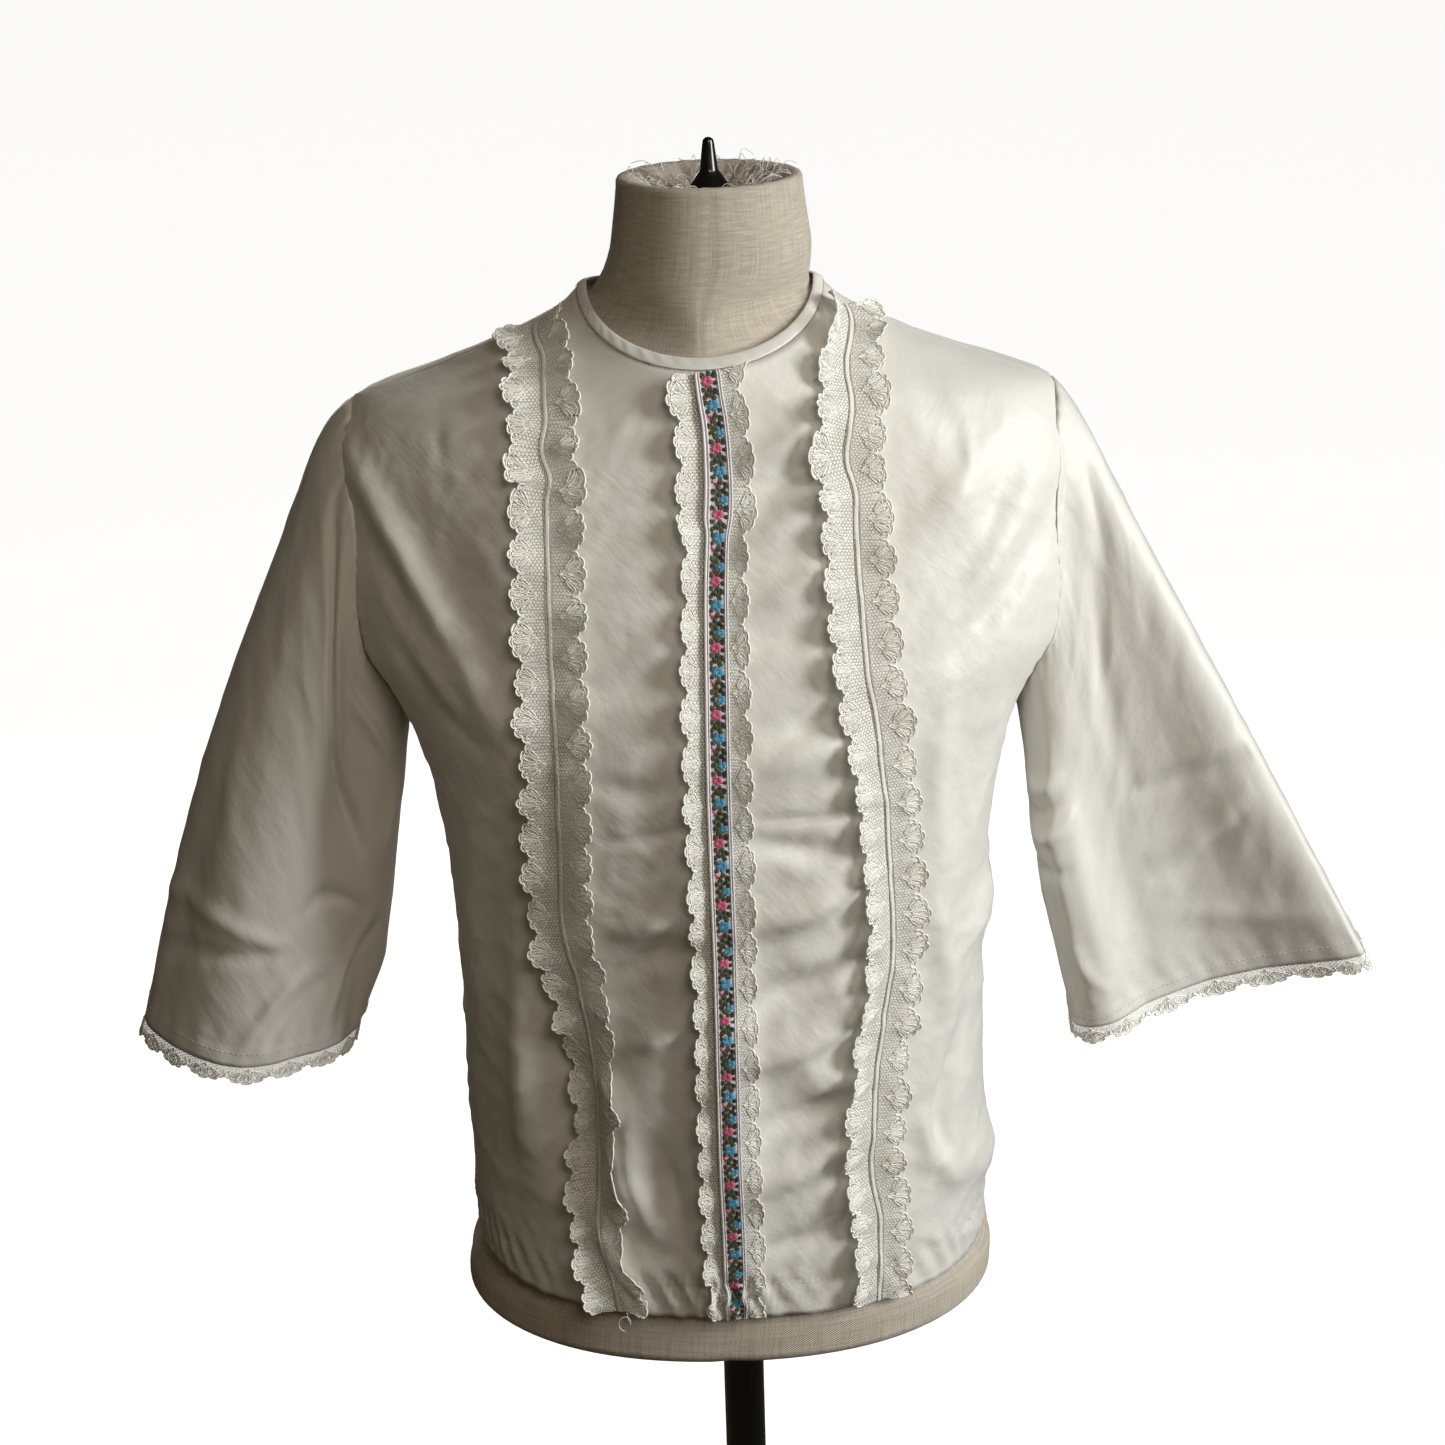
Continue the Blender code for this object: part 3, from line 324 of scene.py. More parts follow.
# Middle lines of the trims on the front, from the hem up: side share u, height share v
SIDE_LACE_RIGHT = (
    (-0.25, 0.002), (-0.293, 0.115), (-0.286, 0.23), (-0.318, 0.365), (-0.336, 0.44),
    (-0.285, 0.61), (-0.25, 0.685), (-0.245, 0.765), (-0.258, 0.878), (-0.304, 0.908),
    (-0.352, 0.94), (-0.52, 0.963), (-0.74, 0.974), (-0.93, 0.973),
)
SIDE_LACE_LEFT = (
    (0.335, 0.002), (0.34, 0.093), (0.32, 0.148), (0.335, 0.227), (0.385, 0.39),
    (0.355, 0.523), (0.31, 0.602), (0.245, 0.69), (0.23, 0.783), (0.24, 0.885),
    (0.34, 0.943), (0.6, 0.975), (0.93, 0.983),
)
CENTRE_LACE = (
    (0.003, 0.002), (0.006, 0.5), (0.008, 0.75), (0.025, 0.9985),
)
CENTRE_X = -0.004
SIDE_SCALLOPS = 27
CENTRE_SCALLOPS = 23
CUFF_SCALLOPS = 18
LACE_ROOT = 0.0022
LACE_VALLEY = 0.0130
LACE_TIP = 0.0210
CENTRE_ROOT = 0.0065
CENTRE_VALLEY = 0.0145
CENTRE_TIP = 0.0220
RIBBON_HALF_WIDTH = 0.0070
RIBBON_LIFT = 0.0031
RIBBON_REPEAT = 0.0360
CUFF_ROOT = -0.0010
CUFF_WAVE = 0.0006
CUFF_VALLEY = 0.0050
CUFF_TIP = 0.0115
HEM_DEPTH = 0.0225
STRIP_REACH = 0.026
BACK_OPENING = 0.004
BUTTON_AT = 0.972
BUTTON_RADIUS = 0.0055
BUTTON_THICK = 0.0022

# Shape of one shell of the lace's scalloped edge
SHELL_SWING = math.radians(93)
SHELL_LOBES = 5
LOBE_DEPTH = 0.22
SHELL_STEPS = 31
SHELL_COLUMNS = 13
SHELL_CUP = 0.0011
# The edge on the wearer's right stands off the cloth, the other lies on it
SHELL_LIFTS = (0.0042, 0.0004)

# Machine stitches, sewing and the gaps between them
STITCH_PITCH = 0.0032
STITCH_LENGTH = 0.0025
STITCH_WIDTH = 0.0004
STITCH_HEIGHT = 0.0003
ON_SEAM = 0.0001

# Grids: columns and rows of cloth
FRONT_GRID = (161, 184)
BACK_GRID = (70, 138)
SLEEVE_GRID = (190, 112)
FORM_GRID = (100, 130)
RNG = np.random.default_rng(11)

# Photo frame, the camera that looks down at the blouse, and how far the lights stand
FOCAL_PX = 2700.0
FRAME_PX = 1445.0
SENSOR_MM = 36.0
CAMERA_AT = (-0.0015, -1.5, 1.3857)
CAMERA_PITCH = math.radians(20.8)
CAMERA_ROLL = math.radians(-1.70)
LIGHT_DISTANCE = 2.2


def linear(code):
    """An sRGB hex value as linear red, green and blue."""
    channels = [int(code[i : i + 2], 16) / 255 for i in (1, 3, 5)]
    return tuple(c / 12.92 if c <= 0.04045 else ((c + 0.055) / 1.055) ** 2.4 for c in channels)


def colour_setting(label, code, text):
    return bpy.props.FloatVectorProperty(
        name=label, description=text, subtype="COLOR", size=3, min=0.0, max=1.0, default=linear(code)
    )


def length_setting(label, length, text, **limits):
    return bpy.props.FloatProperty(name=label, description=text, default=length, unit="LENGTH", **limits)


def share_setting(label, share, text):
    kind = {"subtype": "FACTOR", "min": 0.0, "max": 2.0}
    return bpy.props.FloatProperty(name=label, description=text, default=share, **kind)


class BlouseSettings(bpy.types.PropertyGroup):
    cotton: colour_setting("Cotton", "#dedcd6", "Colour of the blouse's cotton")
    lace: colour_setting("Lace", "#fbf9f1", "Colour of the lace's net and cords")
    ribbon: colour_setting("Ribbon ground", "#ece7ee", "Colour of the ribbon behind the flowers")
    pink: colour_setting("Rose thread", "#dc5f8a", "Colour of the ribbon's roses")
    blue: colour_setting("Blue thread", "#4a9cc0", "Colour of the ribbon's blue flowers")
    green: colour_setting("Leaf thread", "#3c4a2a", "Colour of the ribbon's green leaves")
    brown: colour_setting("Stem thread", "#57482b", "Colour of the ribbon's brown leaves")
    cloth_thick: length_setting("Cloth", 0.0006, "Thickness of the cotton", min=0.0002, max=0.0012)
    cord_radius: length_setting("Lace cord", 0.0006, "Radius of the lace's edge cord", min=0.0001, max=0.001)
    lace_wave: length_setting("Lace wave", 0.0020, "Lift of the lace's waving edges")
    fold_share: share_setting("Creases", 1.0, "Share of the creases' height")


class FormSettings(bpy.types.PropertyGroup):
    linen: colour_setting("Linen", "#c9beae", "Colour of the form's linen")
    paint: colour_setting("Black paint", "#050505", "Colour of the pole, base and spike")
    pleat: length_setting("Neck gathers", 0.0016, "Height of the gathers on the neck's top")


class StudioSettings(bpy.types.PropertyGroup):
    floor: colour_setting("Floor", "#f4f3f1", "Colour of the floor")
    key: bpy.props.FloatProperty(
        name="Window light", description="Power of the light at the right", default=51.0, unit="POWER"
    )
    fill: share_setting("Room light", 0.054, "Strength of the soft light from all sides")


def steady_curve(knots, values, at):
    """A smooth curve through the knots that never overshoots them."""
    knots = np.asarray(knots, float)
    values = np.asarray(values, float)
    steps = np.diff(knots)
    slopes = np.diff(values) / steps
    tangents = np.zeros_like(values)
    tangents[0] = slopes[0]
    tangents[-1] = slopes[-1]
    for i in range(1, len(values) - 1):
        if slopes[i - 1] * slopes[i] > 0:
            before = 2 * steps[i] + steps[i - 1]
            after = steps[i] + 2 * steps[i - 1]
            tangents[i] = (before + after) / (before / slopes[i - 1] + after / slopes[i])
    at = np.clip(np.asarray(at, float), knots[0], knots[-1])
    cell = np.clip(np.searchsorted(knots, at, side="right") - 1, 0, len(steps) - 1)
    step = steps[cell]
    t = (at - knots[cell]) / step
    return (
        values[cell] * (1 + 2 * t) * (1 - t) ** 2
        + tangents[cell] * step * t * (1 - t) ** 2
        + values[cell + 1] * t * t * (3 - 2 * t)
        + tangents[cell + 1] * step * t * t * (t - 1)
    )


def section(table, height):
    """(middle x, half width, front depth, back depth, squareness) of a body at these heights."""
    columns = np.array(table, float).T
    return [steady_curve(columns[0], column, height) for column in columns[1:]]


def smooth_step(low, high, at):
    share = np.clip((np.asarray(at, float) - low) / (high - low), 0, 1)
    return share * share * (3 - 2 * share)


def unit(vectors):
    """These vectors at length 1. One of no length stays as it is."""
    return vectors / np.maximum(np.linalg.norm(vectors, axis=-1, keepdims=True), 1e-12)


def wrapped(points, axis=0):
    """A closed line of points with its first one again at its end."""
    return np.concatenate([points, np.take(points, [0], axis=axis)], axis=axis)


def ring_on_neck(edge, turn):
    """Points of an edge round the neck. turn is 0 at the centre front and half a turn at the back."""
    half, front, front_height, back, back_height, side_height = edge
    forward = np.cos(turn) >= 0
    reach = np.where(forward, front, back)
    low = np.where(forward, front_height, back_height)
    x = section(BODY_SECTIONS, side_height)[0] + half * np.sin(turn)
    height = low + (side_height - low) * (1 - np.abs(np.cos(turn)))
    return np.stack([x, -reach * np.cos(turn), height], -1)


def body_turn(points):
    """How far round the body these points lie, 0 at the centre and a quarter turn at the side."""
    middle, half, front, back, power = section(BODY_SECTIONS, points[..., 2])
    depth = np.where(points[..., 1] < 0, front, back)
    across = (np.abs(points[..., 0] - middle) / half) ** (power / 2)
    return np.arctan2(across, (np.abs(points[..., 1]) / depth) ** (power / 2))


def body_point(turn, height, side, face):
    """The point of the body cloth at this turn. side is -1 or 1 for x, face is -1 for the front."""
    middle, half, front, back, power = section(BODY_SECTIONS, height)
    depth = front if face < 0 else back
    x = middle + side * half * np.sin(turn) ** (2 / power)
    y = face * depth * np.clip(np.cos(turn), 0, 1) ** (2 / power)
    return np.stack(np.broadcast_arrays(x, y, height), -1)


def armhole_turn(height, face):
    """How far round the body the cloth reaches: a quarter turn, less at the armhole."""
    middle = (ARMPIT + SHOULDER_TIP) / 2
    reach = (SHOULDER_TIP - ARMPIT) / 2
    half_depth = ARMHOLE_HALF_DEPTH * np.sqrt(np.clip(1 - ((height - middle) / reach) ** 2, 0, 1))
    _, _, front, back, power = section(BODY_SECTIONS, height)
    depth = front if face < 0 else back
    return np.arccos(np.clip((half_depth / depth) ** (power / 2), 0, 1))


def hem_height(u, face):
    rise = HEM_SIDE_RISE * np.abs(u) ** 5
    back = HEM_BACK_RISE * (1 - np.abs(u)) if face > 0 else 0.0
    return HEM + rise + back - HEM_LEAN * u


def plain_body(u, v, face):
    """Body cloth without folds. u is -1 to 1 from side to side, v is 0 at the hem and 1 at the neck."""
    side = np.sign(u)
    neck_turn = u * math.pi / 2 if face < 0 else math.pi - u * math.pi / 2
    neck = ring_on_neck(BINDING_LOW, neck_turn)
    neck_height = neck[..., 2]
    hem_side = hem_height(1.0, face)
    edge = hem_side + (BINDING_LOW[-1] - hem_side) * v
    up = np.clip((edge - LEVEL_BELOW) / (BINDING_LOW[-1] - LEVEL_BELOW), 0, 1)
    down = 1 - smooth_step(0.0, 0.35, v)
    height = edge + (neck_height - BINDING_LOW[-1]) * up**1.5 + (hem_height(u, face) - hem_side) * down
    turn = np.abs(u) * math.pi / 2 - np.abs(u) ** 4 * (math.pi / 2 - armhole_turn(edge, face))
    turn = turn + (body_turn(neck) - turn) * up**4
    settle = smooth_step(0.80, 1.0, v)[..., None]
    to_neck = neck - body_point(body_turn(neck), neck_height, side, face)
    return body_point(turn, height, side, face) + to_neck * settle


def metres(table):
    """A table of millimetres in metres."""
    return np.array(table, float) / 1000


def soft_creases(x, z, table):
    """Height of soft ridges and troughs at these places, each along its own bowed line."""
    found = np.zeros(np.shape(x))
    for x0, z0, x1, z1, bow, width, height in table:
        run_x = x1 - x0
        run_z = z1 - z0
        length = math.hypot(run_x, run_z)
        share = ((x - x0) * run_x + (z - z0) * run_z) / length**2
        t = np.clip(share, 0, 1)
        off = ((x - x0) * run_z - (z - z0) * run_x) / length - bow * 4 * t * (1 - t)
        past = (share - t) * length
        taper = 0.35 + 0.65 * np.sin(t * math.pi)
        found = found + height * taper * np.exp(-(off**2 + past**2) / width**2)
    return found


def rumple(x, z, seed, lengths, height):
    """Faint uneven rumples, the sum of waves in many directions at these wave lengths."""
    rng = np.random.default_rng(seed)
    found = np.zeros(np.shape(x))
    for length in lengths:
        for _ in range(5):
            swing = rng.uniform(0, 2 * math.pi)
            phase = rng.uniform(0, 2 * math.pi, 2)
            wave = 2 * math.pi / (length * rng.uniform(0.8, 1.25))
            across = x * math.cos(swing) + z * math.sin(swing)
            beside = z * math.cos(swing) - x * math.sin(swing)
            found = found + np.sin(across * wave + phase[0] + 1.5 * np.sin(beside * wave * 0.45 + phase[1]))
    return found * height / math.sqrt(5 * len(lengths))


def crumples(x, z, seed, lengths, height):
    """Small pinched ridges that wander over the cloth, where waves of these lengths cross nought."""
    found = np.zeros(np.shape(x))
    for number, length in enumerate(lengths):
        wave = rumple(x, z, seed + number, (length,), 1.0)
        found = found + height * length / lengths[0] * np.exp(-np.sqrt(wave**2 + 0.01) / 0.30)
    return found


def grid_normals(grid, closed=False):
    """Unit normals of a grid of points [row, column]; the caller sets which side is out."""
    if closed:
        across = np.roll(grid, -1, axis=1) - np.roll(grid, 1, axis=1)
    else:
        across = np.gradient(grid, axis=1)
    return unit(np.cross(across, np.gradient(grid, axis=0)))


def outward_normals(grid):
    """Unit normals of a grid that is closed along its rows, away from its middle."""
    normals = grid_normals(grid, closed=True)
    away = grid - grid.mean(axis=1, keepdims=True)
    return -normals if (away * normals).sum() < 0 else normals


def run_of(line, axis=0):
    """Length along a line of points, from 0."""
    steps = np.linalg.norm(np.diff(line, axis=axis), axis=-1)
    zero = np.zeros_like(np.take(steps, [0], axis=axis))
    return np.concatenate([zero, np.cumsum(steps, axis=axis)], axis=axis)


class Panel:
    """Outer points of a body panel on a fine grid, with its normals, for the trims to lie on."""

    def __init__(self, columns, rows, face, share):
        self.columns = columns
        self.rows = rows
        v, u = np.meshgrid(rows, columns, indexing="ij")
        plain = plain_body(u, v, face)
        normals = grid_normals(plain)
        if normals[..., 1].mean() * face < 0:
            normals = -normals
        edge = 1 - np.abs(u)
        fade = smooth_step(0.0, 0.12, edge) * smooth_step(0.0, 0.06, 1 - v)
        near = smooth_step(0.0, 0.05, edge) * smooth_step(0.0, 0.03, 1 - v)
        x, z = plain[..., 0], plain[..., 2]
        if face < 0:
            clear = smooth_step(*RIBBON_CLEAR, np.abs(x - CENTRE_X))
            folds, creases = FRONT_FOLDS, FRONT_CREASES
        else:
            clear = smooth_step(*OPENING_CLEAR, np.abs(x - CENTRE_X))
            folds, creases = BACK_FOLDS, BACK_CREASES
            near = near * clear
        folds = soft_creases(x, z, metres(folds)) * fade * clear
        folds = folds + soft_creases(x, z, metres(creases)) * near * share
        folds = folds + rumple(x, z, 5 + face, BODY_RUMPLES, BODY_RUMPLE) * fade
        # the cloth over the chest is stretched flatter than at the waist
        pinched = 0.45 + 0.55 * (1 - smooth_step(0.76, 0.88, z))
        pinches = crumples(x, z, 60 + face, CRUMPLES, BODY_CRUMPLE)
        folds = folds + pinches * fade * clear * pinched * share
        from_hem = run_of(plain)
        self.across = run_of(plain, axis=1)
        folds = folds + hem_form(self.across, from_hem, x, 3 + face)
        for end in (0, -1):
            if abs(columns[end]) == 1:
                away = np.abs(self.across - self.across[:, [end]])
                folds = folds + seam_puckers(from_hem, away, 20 + end)
        self.normals = normals
        self.points = plain + normals * folds[..., None]
        self.points[..., 1] += face * SEAM_GAP / 2 * smooth_step(0.9, 1.0, np.abs(u))
        if face > 0:
            near = 1 - smooth_step(0.0, 0.1, np.abs(u))
            self.points[..., 0] += np.sign(columns.sum()) * SEAM_GAP / 2 * near
        self.from_hem = from_hem

    def mixed(self, values, u, v):
        u = np.clip(u, self.columns[0], self.columns[-1])
        v = np.clip(v, 0, 1)
        across = (u - self.columns[0]) / (self.columns[-1] - self.columns[0]) * (len(self.columns) - 1)
        return bilinear(values, v * (len(self.rows) - 1), across)

    def point(self, u, v, lift=0.0):
        normal = unit(self.mixed(self.normals, u, v))
        return self.mixed(self.points, u, v) + normal * np.asarray(lift)[..., None]


def bilinear(values, row, column):
    """Values of a grid [row, column] between its points."""
    low = np.clip(np.floor(row).astype(int), 0, values.shape[0] - 2)
    left = np.clip(np.floor(column).astype(int), 0, values.shape[1] - 2)
    s = np.clip(row - low, 0, 1)[..., None]
    t = np.clip(column - left, 0, 1)[..., None]
    below = values[low, left] * (1 - t) + values[low, left + 1] * t
    above = values[low + 1, left] * (1 - t) + values[low + 1, left + 1] * t
    return below * (1 - s) + above * s


def turned_edge(from_hem, depth, thick, edge, sink, width):
    """A turned up hem: a little thicker below its line of stitches, which sinks in."""
    band = thick * (1 - smooth_step(depth - edge, depth + edge, from_hem))
    return band - sink * np.exp(-(((from_hem - depth) / width) ** 2))


def hem_form(across, from_hem, x, seed):
    """The turned up hem: a little thicker, with puckers along its stitch line, most near the centre."""
    rng = np.random.default_rng(seed)
    band = turned_edge(from_hem, HEM_DEPTH, 0.00035, 0.0006, 0.0005, 0.0013)
    phase = rng.uniform(0, 6.28, 3)
    slant = across + 0.35 * (from_hem - HEM_DEPTH)
    bend = 1.6 * np.sin(across * 75 + phase[1])
    pucker = np.sin(slant * 2 * math.pi / HEM_PUCKER + phase[0] + bend)
    pucker = pucker * (0.6 + 0.4 * np.sin(across * 41 + phase[2]))
    reach = np.where(from_hem < HEM_DEPTH, 0.020, 0.008)
    near = np.exp(-(((from_hem - HEM_DEPTH) / reach) ** 2))
    height = 0.0013 + 0.0022 * np.exp(-(((x + 0.03) / 0.07) ** 2))
    return band + height * pucker * near


def seam_puckers(along, away, seed):
    """Small puckers beside a seam, across it."""
    rng = np.random.default_rng(seed + 100)
    phase = rng.uniform(0, 6.28, 2)
    bend = 1.2 * np.sin(along * 60 + phase[1])
    wave = np.sin(along * 2 * math.pi / SEAM_PUCKER + phase[0] + bend)
    return 0.00045 * wave * np.exp(-(((away - 0.004) / 0.006) ** 2)) * smooth_step(0, 0.003, away)


def strip_places(panel, u, v, offsets):
    """(u, v) of points beside a middle line, at these distances across it."""
    step = 1e-3
    centre = panel.point(u, v)
    across_u = (panel.point(u + step, v) - centre) / step
    across_v = (panel.point(u, v - step) - centre) / -step
    # smoothed, so that small puckers don't bend the trim's columns
    across_u = smoothed(across_u, 9)
    across_v = smoothed(across_v, 9)
    along = smoothed(np.gradient(centre, axis=0), 9)
    side = unit(np.cross(along, np.cross(across_u, across_v)))
    side = side * np.sign(side[..., :1])
    pull = np.stack([across_u, across_v], -1)
    moves = np.einsum("...ij,...i->...j", pull, side)
    square = np.einsum("...ij,...ik->...jk", pull, pull)
    share = np.linalg.solve(square, moves[..., None])[..., 0]
    return u[:, None] + share[:, :1] * offsets, v[:, None] + share[:, 1:] * offsets


def smoothed(values, width):
    """A running mean along the rows, with the ends kept."""
    pad = width // 2
    wide = np.concatenate([np.repeat(values[:1], pad, 0), values, np.repeat(values[-1:], pad, 0)])
    total = np.cumsum(np.concatenate([np.zeros_like(wide[:1]), wide]), axis=0)
    return (total[width:] - total[:-width]) / width


class Strip:
    """The cloth under a trim, as a grid along and across the trim's middle line."""

    def __init__(self, panel, table, reach, rows=600, columns=31):
        u, v = np.array(table, float).T
        knots = run_of(panel.point(u, v))
        fine = np.linspace(0, knots[-1], 400)
        u_fine = steady_curve(knots, u, fine)
        v_fine = steady_curve(knots, v, fine)
        length = run_of(panel.point(u_fine, v_fine))
        even = np.linspace(0, length[-1], rows)
        offsets = np.linspace(-reach, reach, columns)
        middle = (np.interp(even, length, u_fine), np.interp(even, length, v_fine))
        u_all, v_all = strip_places(panel, *middle, offsets)
        u_all = np.clip(u_all, panel.columns[0], panel.columns[-1])
        v_all = np.clip(v_all, 0.001, 0.999)
        self.points = panel.point(u_all, v_all)
        self.normals = unit(panel.mixed(panel.normals, u_all, v_all))
        self.length = length[-1]
        self.reach = reach

    def up(self, along, across, lift):
        """(point, direction away from the cloth) at this lift."""
        point = self.at(along, across, lift)
        return point, unit(self.at(along, across, lift + 0.001) - point)

    def at(self, along, across, lift):
        """Points above the cloth. along runs from the hem up, across is 0 on the middle line."""
        row = along / self.length * (len(self.points) - 1)
        column = (across + self.reach) / (2 * self.reach) * (self.points.shape[1] - 1)
        row, column, lift = np.broadcast_arrays(row, column, lift)
        normal = bilinear(self.normals, row, column)
        return bilinear(self.points, row, column) + normal * lift[..., None]


def quads(rows, columns, closed):
    steps = columns if closed else columns - 1
    row = np.arange(rows - 1)[:, None]
    column = np.arange(steps)[None, :]
    after = (column + 1) % columns
    faces = (row * columns + column, row * columns + after)
    faces = faces + ((row + 1) * columns + after, (row + 1) * columns + column)
    return np.stack(faces, -1).reshape(-1, 4)


def new_object(name, points, faces, material, uv=None):
    mesh = bpy.data.meshes.new(name)
    mesh.from_pydata(points.reshape(-1, 3).tolist(), [], faces.tolist())
    if uv is not None:
        layer = mesh.uv_layers.new(name="UVMap")
        layer.data.foreach_set("uv", np.ascontiguousarray(uv, np.float32).ravel())
    mesh.shade_smooth()
    mesh.materials.append(material)
    obj = bpy.data.objects.new(name, mesh)
    bpy.context.scene.collection.objects.link(obj)
    return obj


def grid_object(name, points, material, across, along, closed=False, flip=False):
    """A sheet through a grid of points [row, column], with its cloth sizes in metres as UVs."""
    rows, columns = points.shape[:2]
    faces = quads(rows, columns, closed)
    uv = np.stack(np.broadcast_arrays(across, along), -1)
    wide = uv.shape[1]
    uv = uv.reshape(-1, 2)
    corners = faces
    if closed:
        row, column = np.divmod(faces, columns)
        first = column[:, :1]
        column = np.where(column < first, first + 1, column)
        corners = row * wide + column
    if flip:
        faces = faces[:, ::-1]
        corners = corners[:, ::-1]
    return new_object(name, points, faces, material, uv[corners.reshape(-1)])


def thicken(obj, thick):
    """Gives a sheet its thickness, inwards from its outer side."""
    shell = obj.modifiers.new("thickness", "SOLIDIFY")
    shell.thickness = thick
    shell.offset = -1.0
    shell.use_rim = True


def tubes(lines, normals, radius, sides=4, closed=False):
    """Points and faces of cords along many lines of points [cord, point, xyz]."""
    if closed:
        along = np.roll(lines, -1, axis=1) - np.roll(lines, 1, axis=1)
    else:
        along = np.gradient(lines, axis=1)
    along = unit(along)
    side = unit(np.cross(along, normals))
    up = np.cross(side, along)
    swing = np.arange(sides) * 2 * math.pi / sides
    radius = np.broadcast_to(np.asarray(radius, float), lines.shape[:2])[..., None, None]
    ring = side[:, :, None] * np.cos(swing)[:, None] + up[:, :, None] * np.sin(swing)[:, None]
    points = lines[:, :, None] + ring * radius
    cords, count = lines.shape[:2]
    steps = count if closed else count - 1
    cord = np.arange(cords)[:, None, None] * count * sides
    step = np.arange(steps)[None, :, None]
    turn = np.arange(sides)[None, None, :]
    after = (step + 1) % count
    beside = (turn + 1) % sides
    corner = (step * sides + turn, step * sides + beside, after * sides + beside, after * sides + turn)
    faces = np.stack([cord + c for c in corner], -1).reshape(-1, 4)
    return points.reshape(-1, 3), faces


def joined(parts):
    """One list of points and one of faces from many."""
    points = []
    faces = []
    count = 0
    for some_points, some_faces in parts:
        points.append(some_points)
        faces.append(some_faces + count)
        count += len(some_points)
    return np.concatenate(points), np.concatenate(faces)


def stitches(middles, along, normals, length, width, height):
    """Short raised stitches: slim spindles along a direction, lying on the cloth."""
    along = unit(along)
    side = unit(np.cross(along, normals))
    length, width, height = (np.broadcast_to(s, middles.shape[:1])[:, None] for s in (length, width, height))
    corners = []
    for end, wide, high in ((-0.5, 0, 0), (-0.2, 1, 1), (0.2, 1, 1), (0.5, 0, 0)):
        for turn_side, turn_up in ((0.5, 0), (0, 1), (-0.5, 0), (0, -0.3)):
            reach = max(wide, 0.25)
            lift = max(high, 0.15)
            corners.append(
                middles
                + along * length * end
                + side * width * turn_side * reach
                + normals * height * turn_up * lift
            )
    points = np.stack(corners, 1).reshape(-1, 3)
    start = np.arange(len(middles))[:, None] * 16
    faces = []
    for ring in range(3):
        for turn in range(4):
            beside = (turn + 1) % 4
            low = ring * 4
            faces.append(start + np.array([low + turn, low + beside, low + 4 + beside, low + 4 + turn]))
    faces.append(start + np.array([3, 2, 1, 0]))
    faces.append(start + np.array([12, 13, 14, 15]))
    return points, np.concatenate(faces)


def add_node(tree, kind, *inputs, **settings):
    """A node. Inputs in order and Capital names fill its sockets, each with a value or from a socket."""
    node = tree.nodes.new(kind)
    filled = list(enumerate(inputs))
    for key, value in settings.items():
        if key[0].isupper():
            filled.append((key.replace("_", " "), value))
        else:
            setattr(node, key, value)
    for socket, value in filled:
        if isinstance(value, bpy.types.NodeSocket):
            tree.links.new(value, node.inputs[socket])
        else:
            node.inputs[socket].default_value = value
    return node


def new_material(name, colour, roughness, **sockets):
    material = bpy.data.materials.new(name)
    material.use_nodes = True
    tree = material.node_tree
    shader = tree.nodes["Principled BSDF"]
    for key, value in {"Base_Color": (*colour, 1.0), "Roughness": roughness, **sockets}.items():
        shader.inputs[key.replace("_", " ")].default_value = value
    material.diffuse_color = (*colour, 1.0)
    return material, tree, shader


def shade(colour, share):
    """A colour times a share, one for all channels or one for each."""
    return tuple(float(c) for c in np.array(colour) * share)


def colour_between(tree, shader, factor, low, high):
    """Base colour between two, by a socket from 0 to 1."""
    both = add_node(tree, "ShaderNodeMix", factor, data_type="RGBA")
    both.inputs[6].default_value = (*low, 1.0)
    both.inputs[7].default_value = (*high, 1.0)
    tree.links.new(both.outputs[2], shader.inputs["Base Color"])


def crossed_noise(tree, where, scale, stretch, turn_deg=0.0):
    """Sum of two noises drawn out along the cloth's two threads, or turned from them, 0 to 2."""
    parts = []
    for swing_deg in (turn_deg, 90.0 - turn_deg):
        swing = (0.0, 0.0, math.radians(swing_deg))
        wide = (1.0, 1 / stretch, 1.0)
        drawn = add_node(tree, "ShaderNodeMapping", where, vector_type="TEXTURE", Rotation=swing, Scale=wide)
        noise = add_node(tree, "ShaderNodeTexNoise", drawn.outputs[0], Scale=scale, Detail=3.0)
        parts.append(noise.outputs["Fac"])
    return add_node(tree, "ShaderNodeMath", *parts, operation="ADD").outputs[0]


def cotton_material(colour):
    """Cotton lawn, plain woven and calendered: a fine even grain with a faint sheen and soft rumples."""
    shine = {"Sheen_Weight": 0.3, "Sheen_Roughness": 0.5, "Specular_IOR_Level": 0.5}
    material, tree, shader = new_material("cotton_lawn", colour, 0.48, **shine)
    where = add_node(tree, "ShaderNodeTexCoord").outputs["UV"]
    # threads are 0.3 mm apart in such cloth, and are drawn 1.1 mm apart so that they show
    weave = crossed_noise(tree, where, 900.0, 0.14)
    wrinkles = crossed_noise(tree, where, 150.0, 0.35, turn_deg=32.0)
    blotch = add_node(tree, "ShaderNodeTexNoise", where, Scale=14.0, Detail=4.0)
    colour_between(tree, shader, blotch.outputs["Fac"], shade(colour, (0.97, 0.955, 0.93)), colour)
    rough = add_node(tree, "ShaderNodeBump", Height=wrinkles, Strength=0.4, Distance=0.0008).outputs[0]
    fine = add_node(tree, "ShaderNodeBump", Height=weave, Normal=rough, Strength=0.25, Distance=0.00015)
    tree.links.new(fine.outputs[0], shader.inputs["Normal"])
    return material


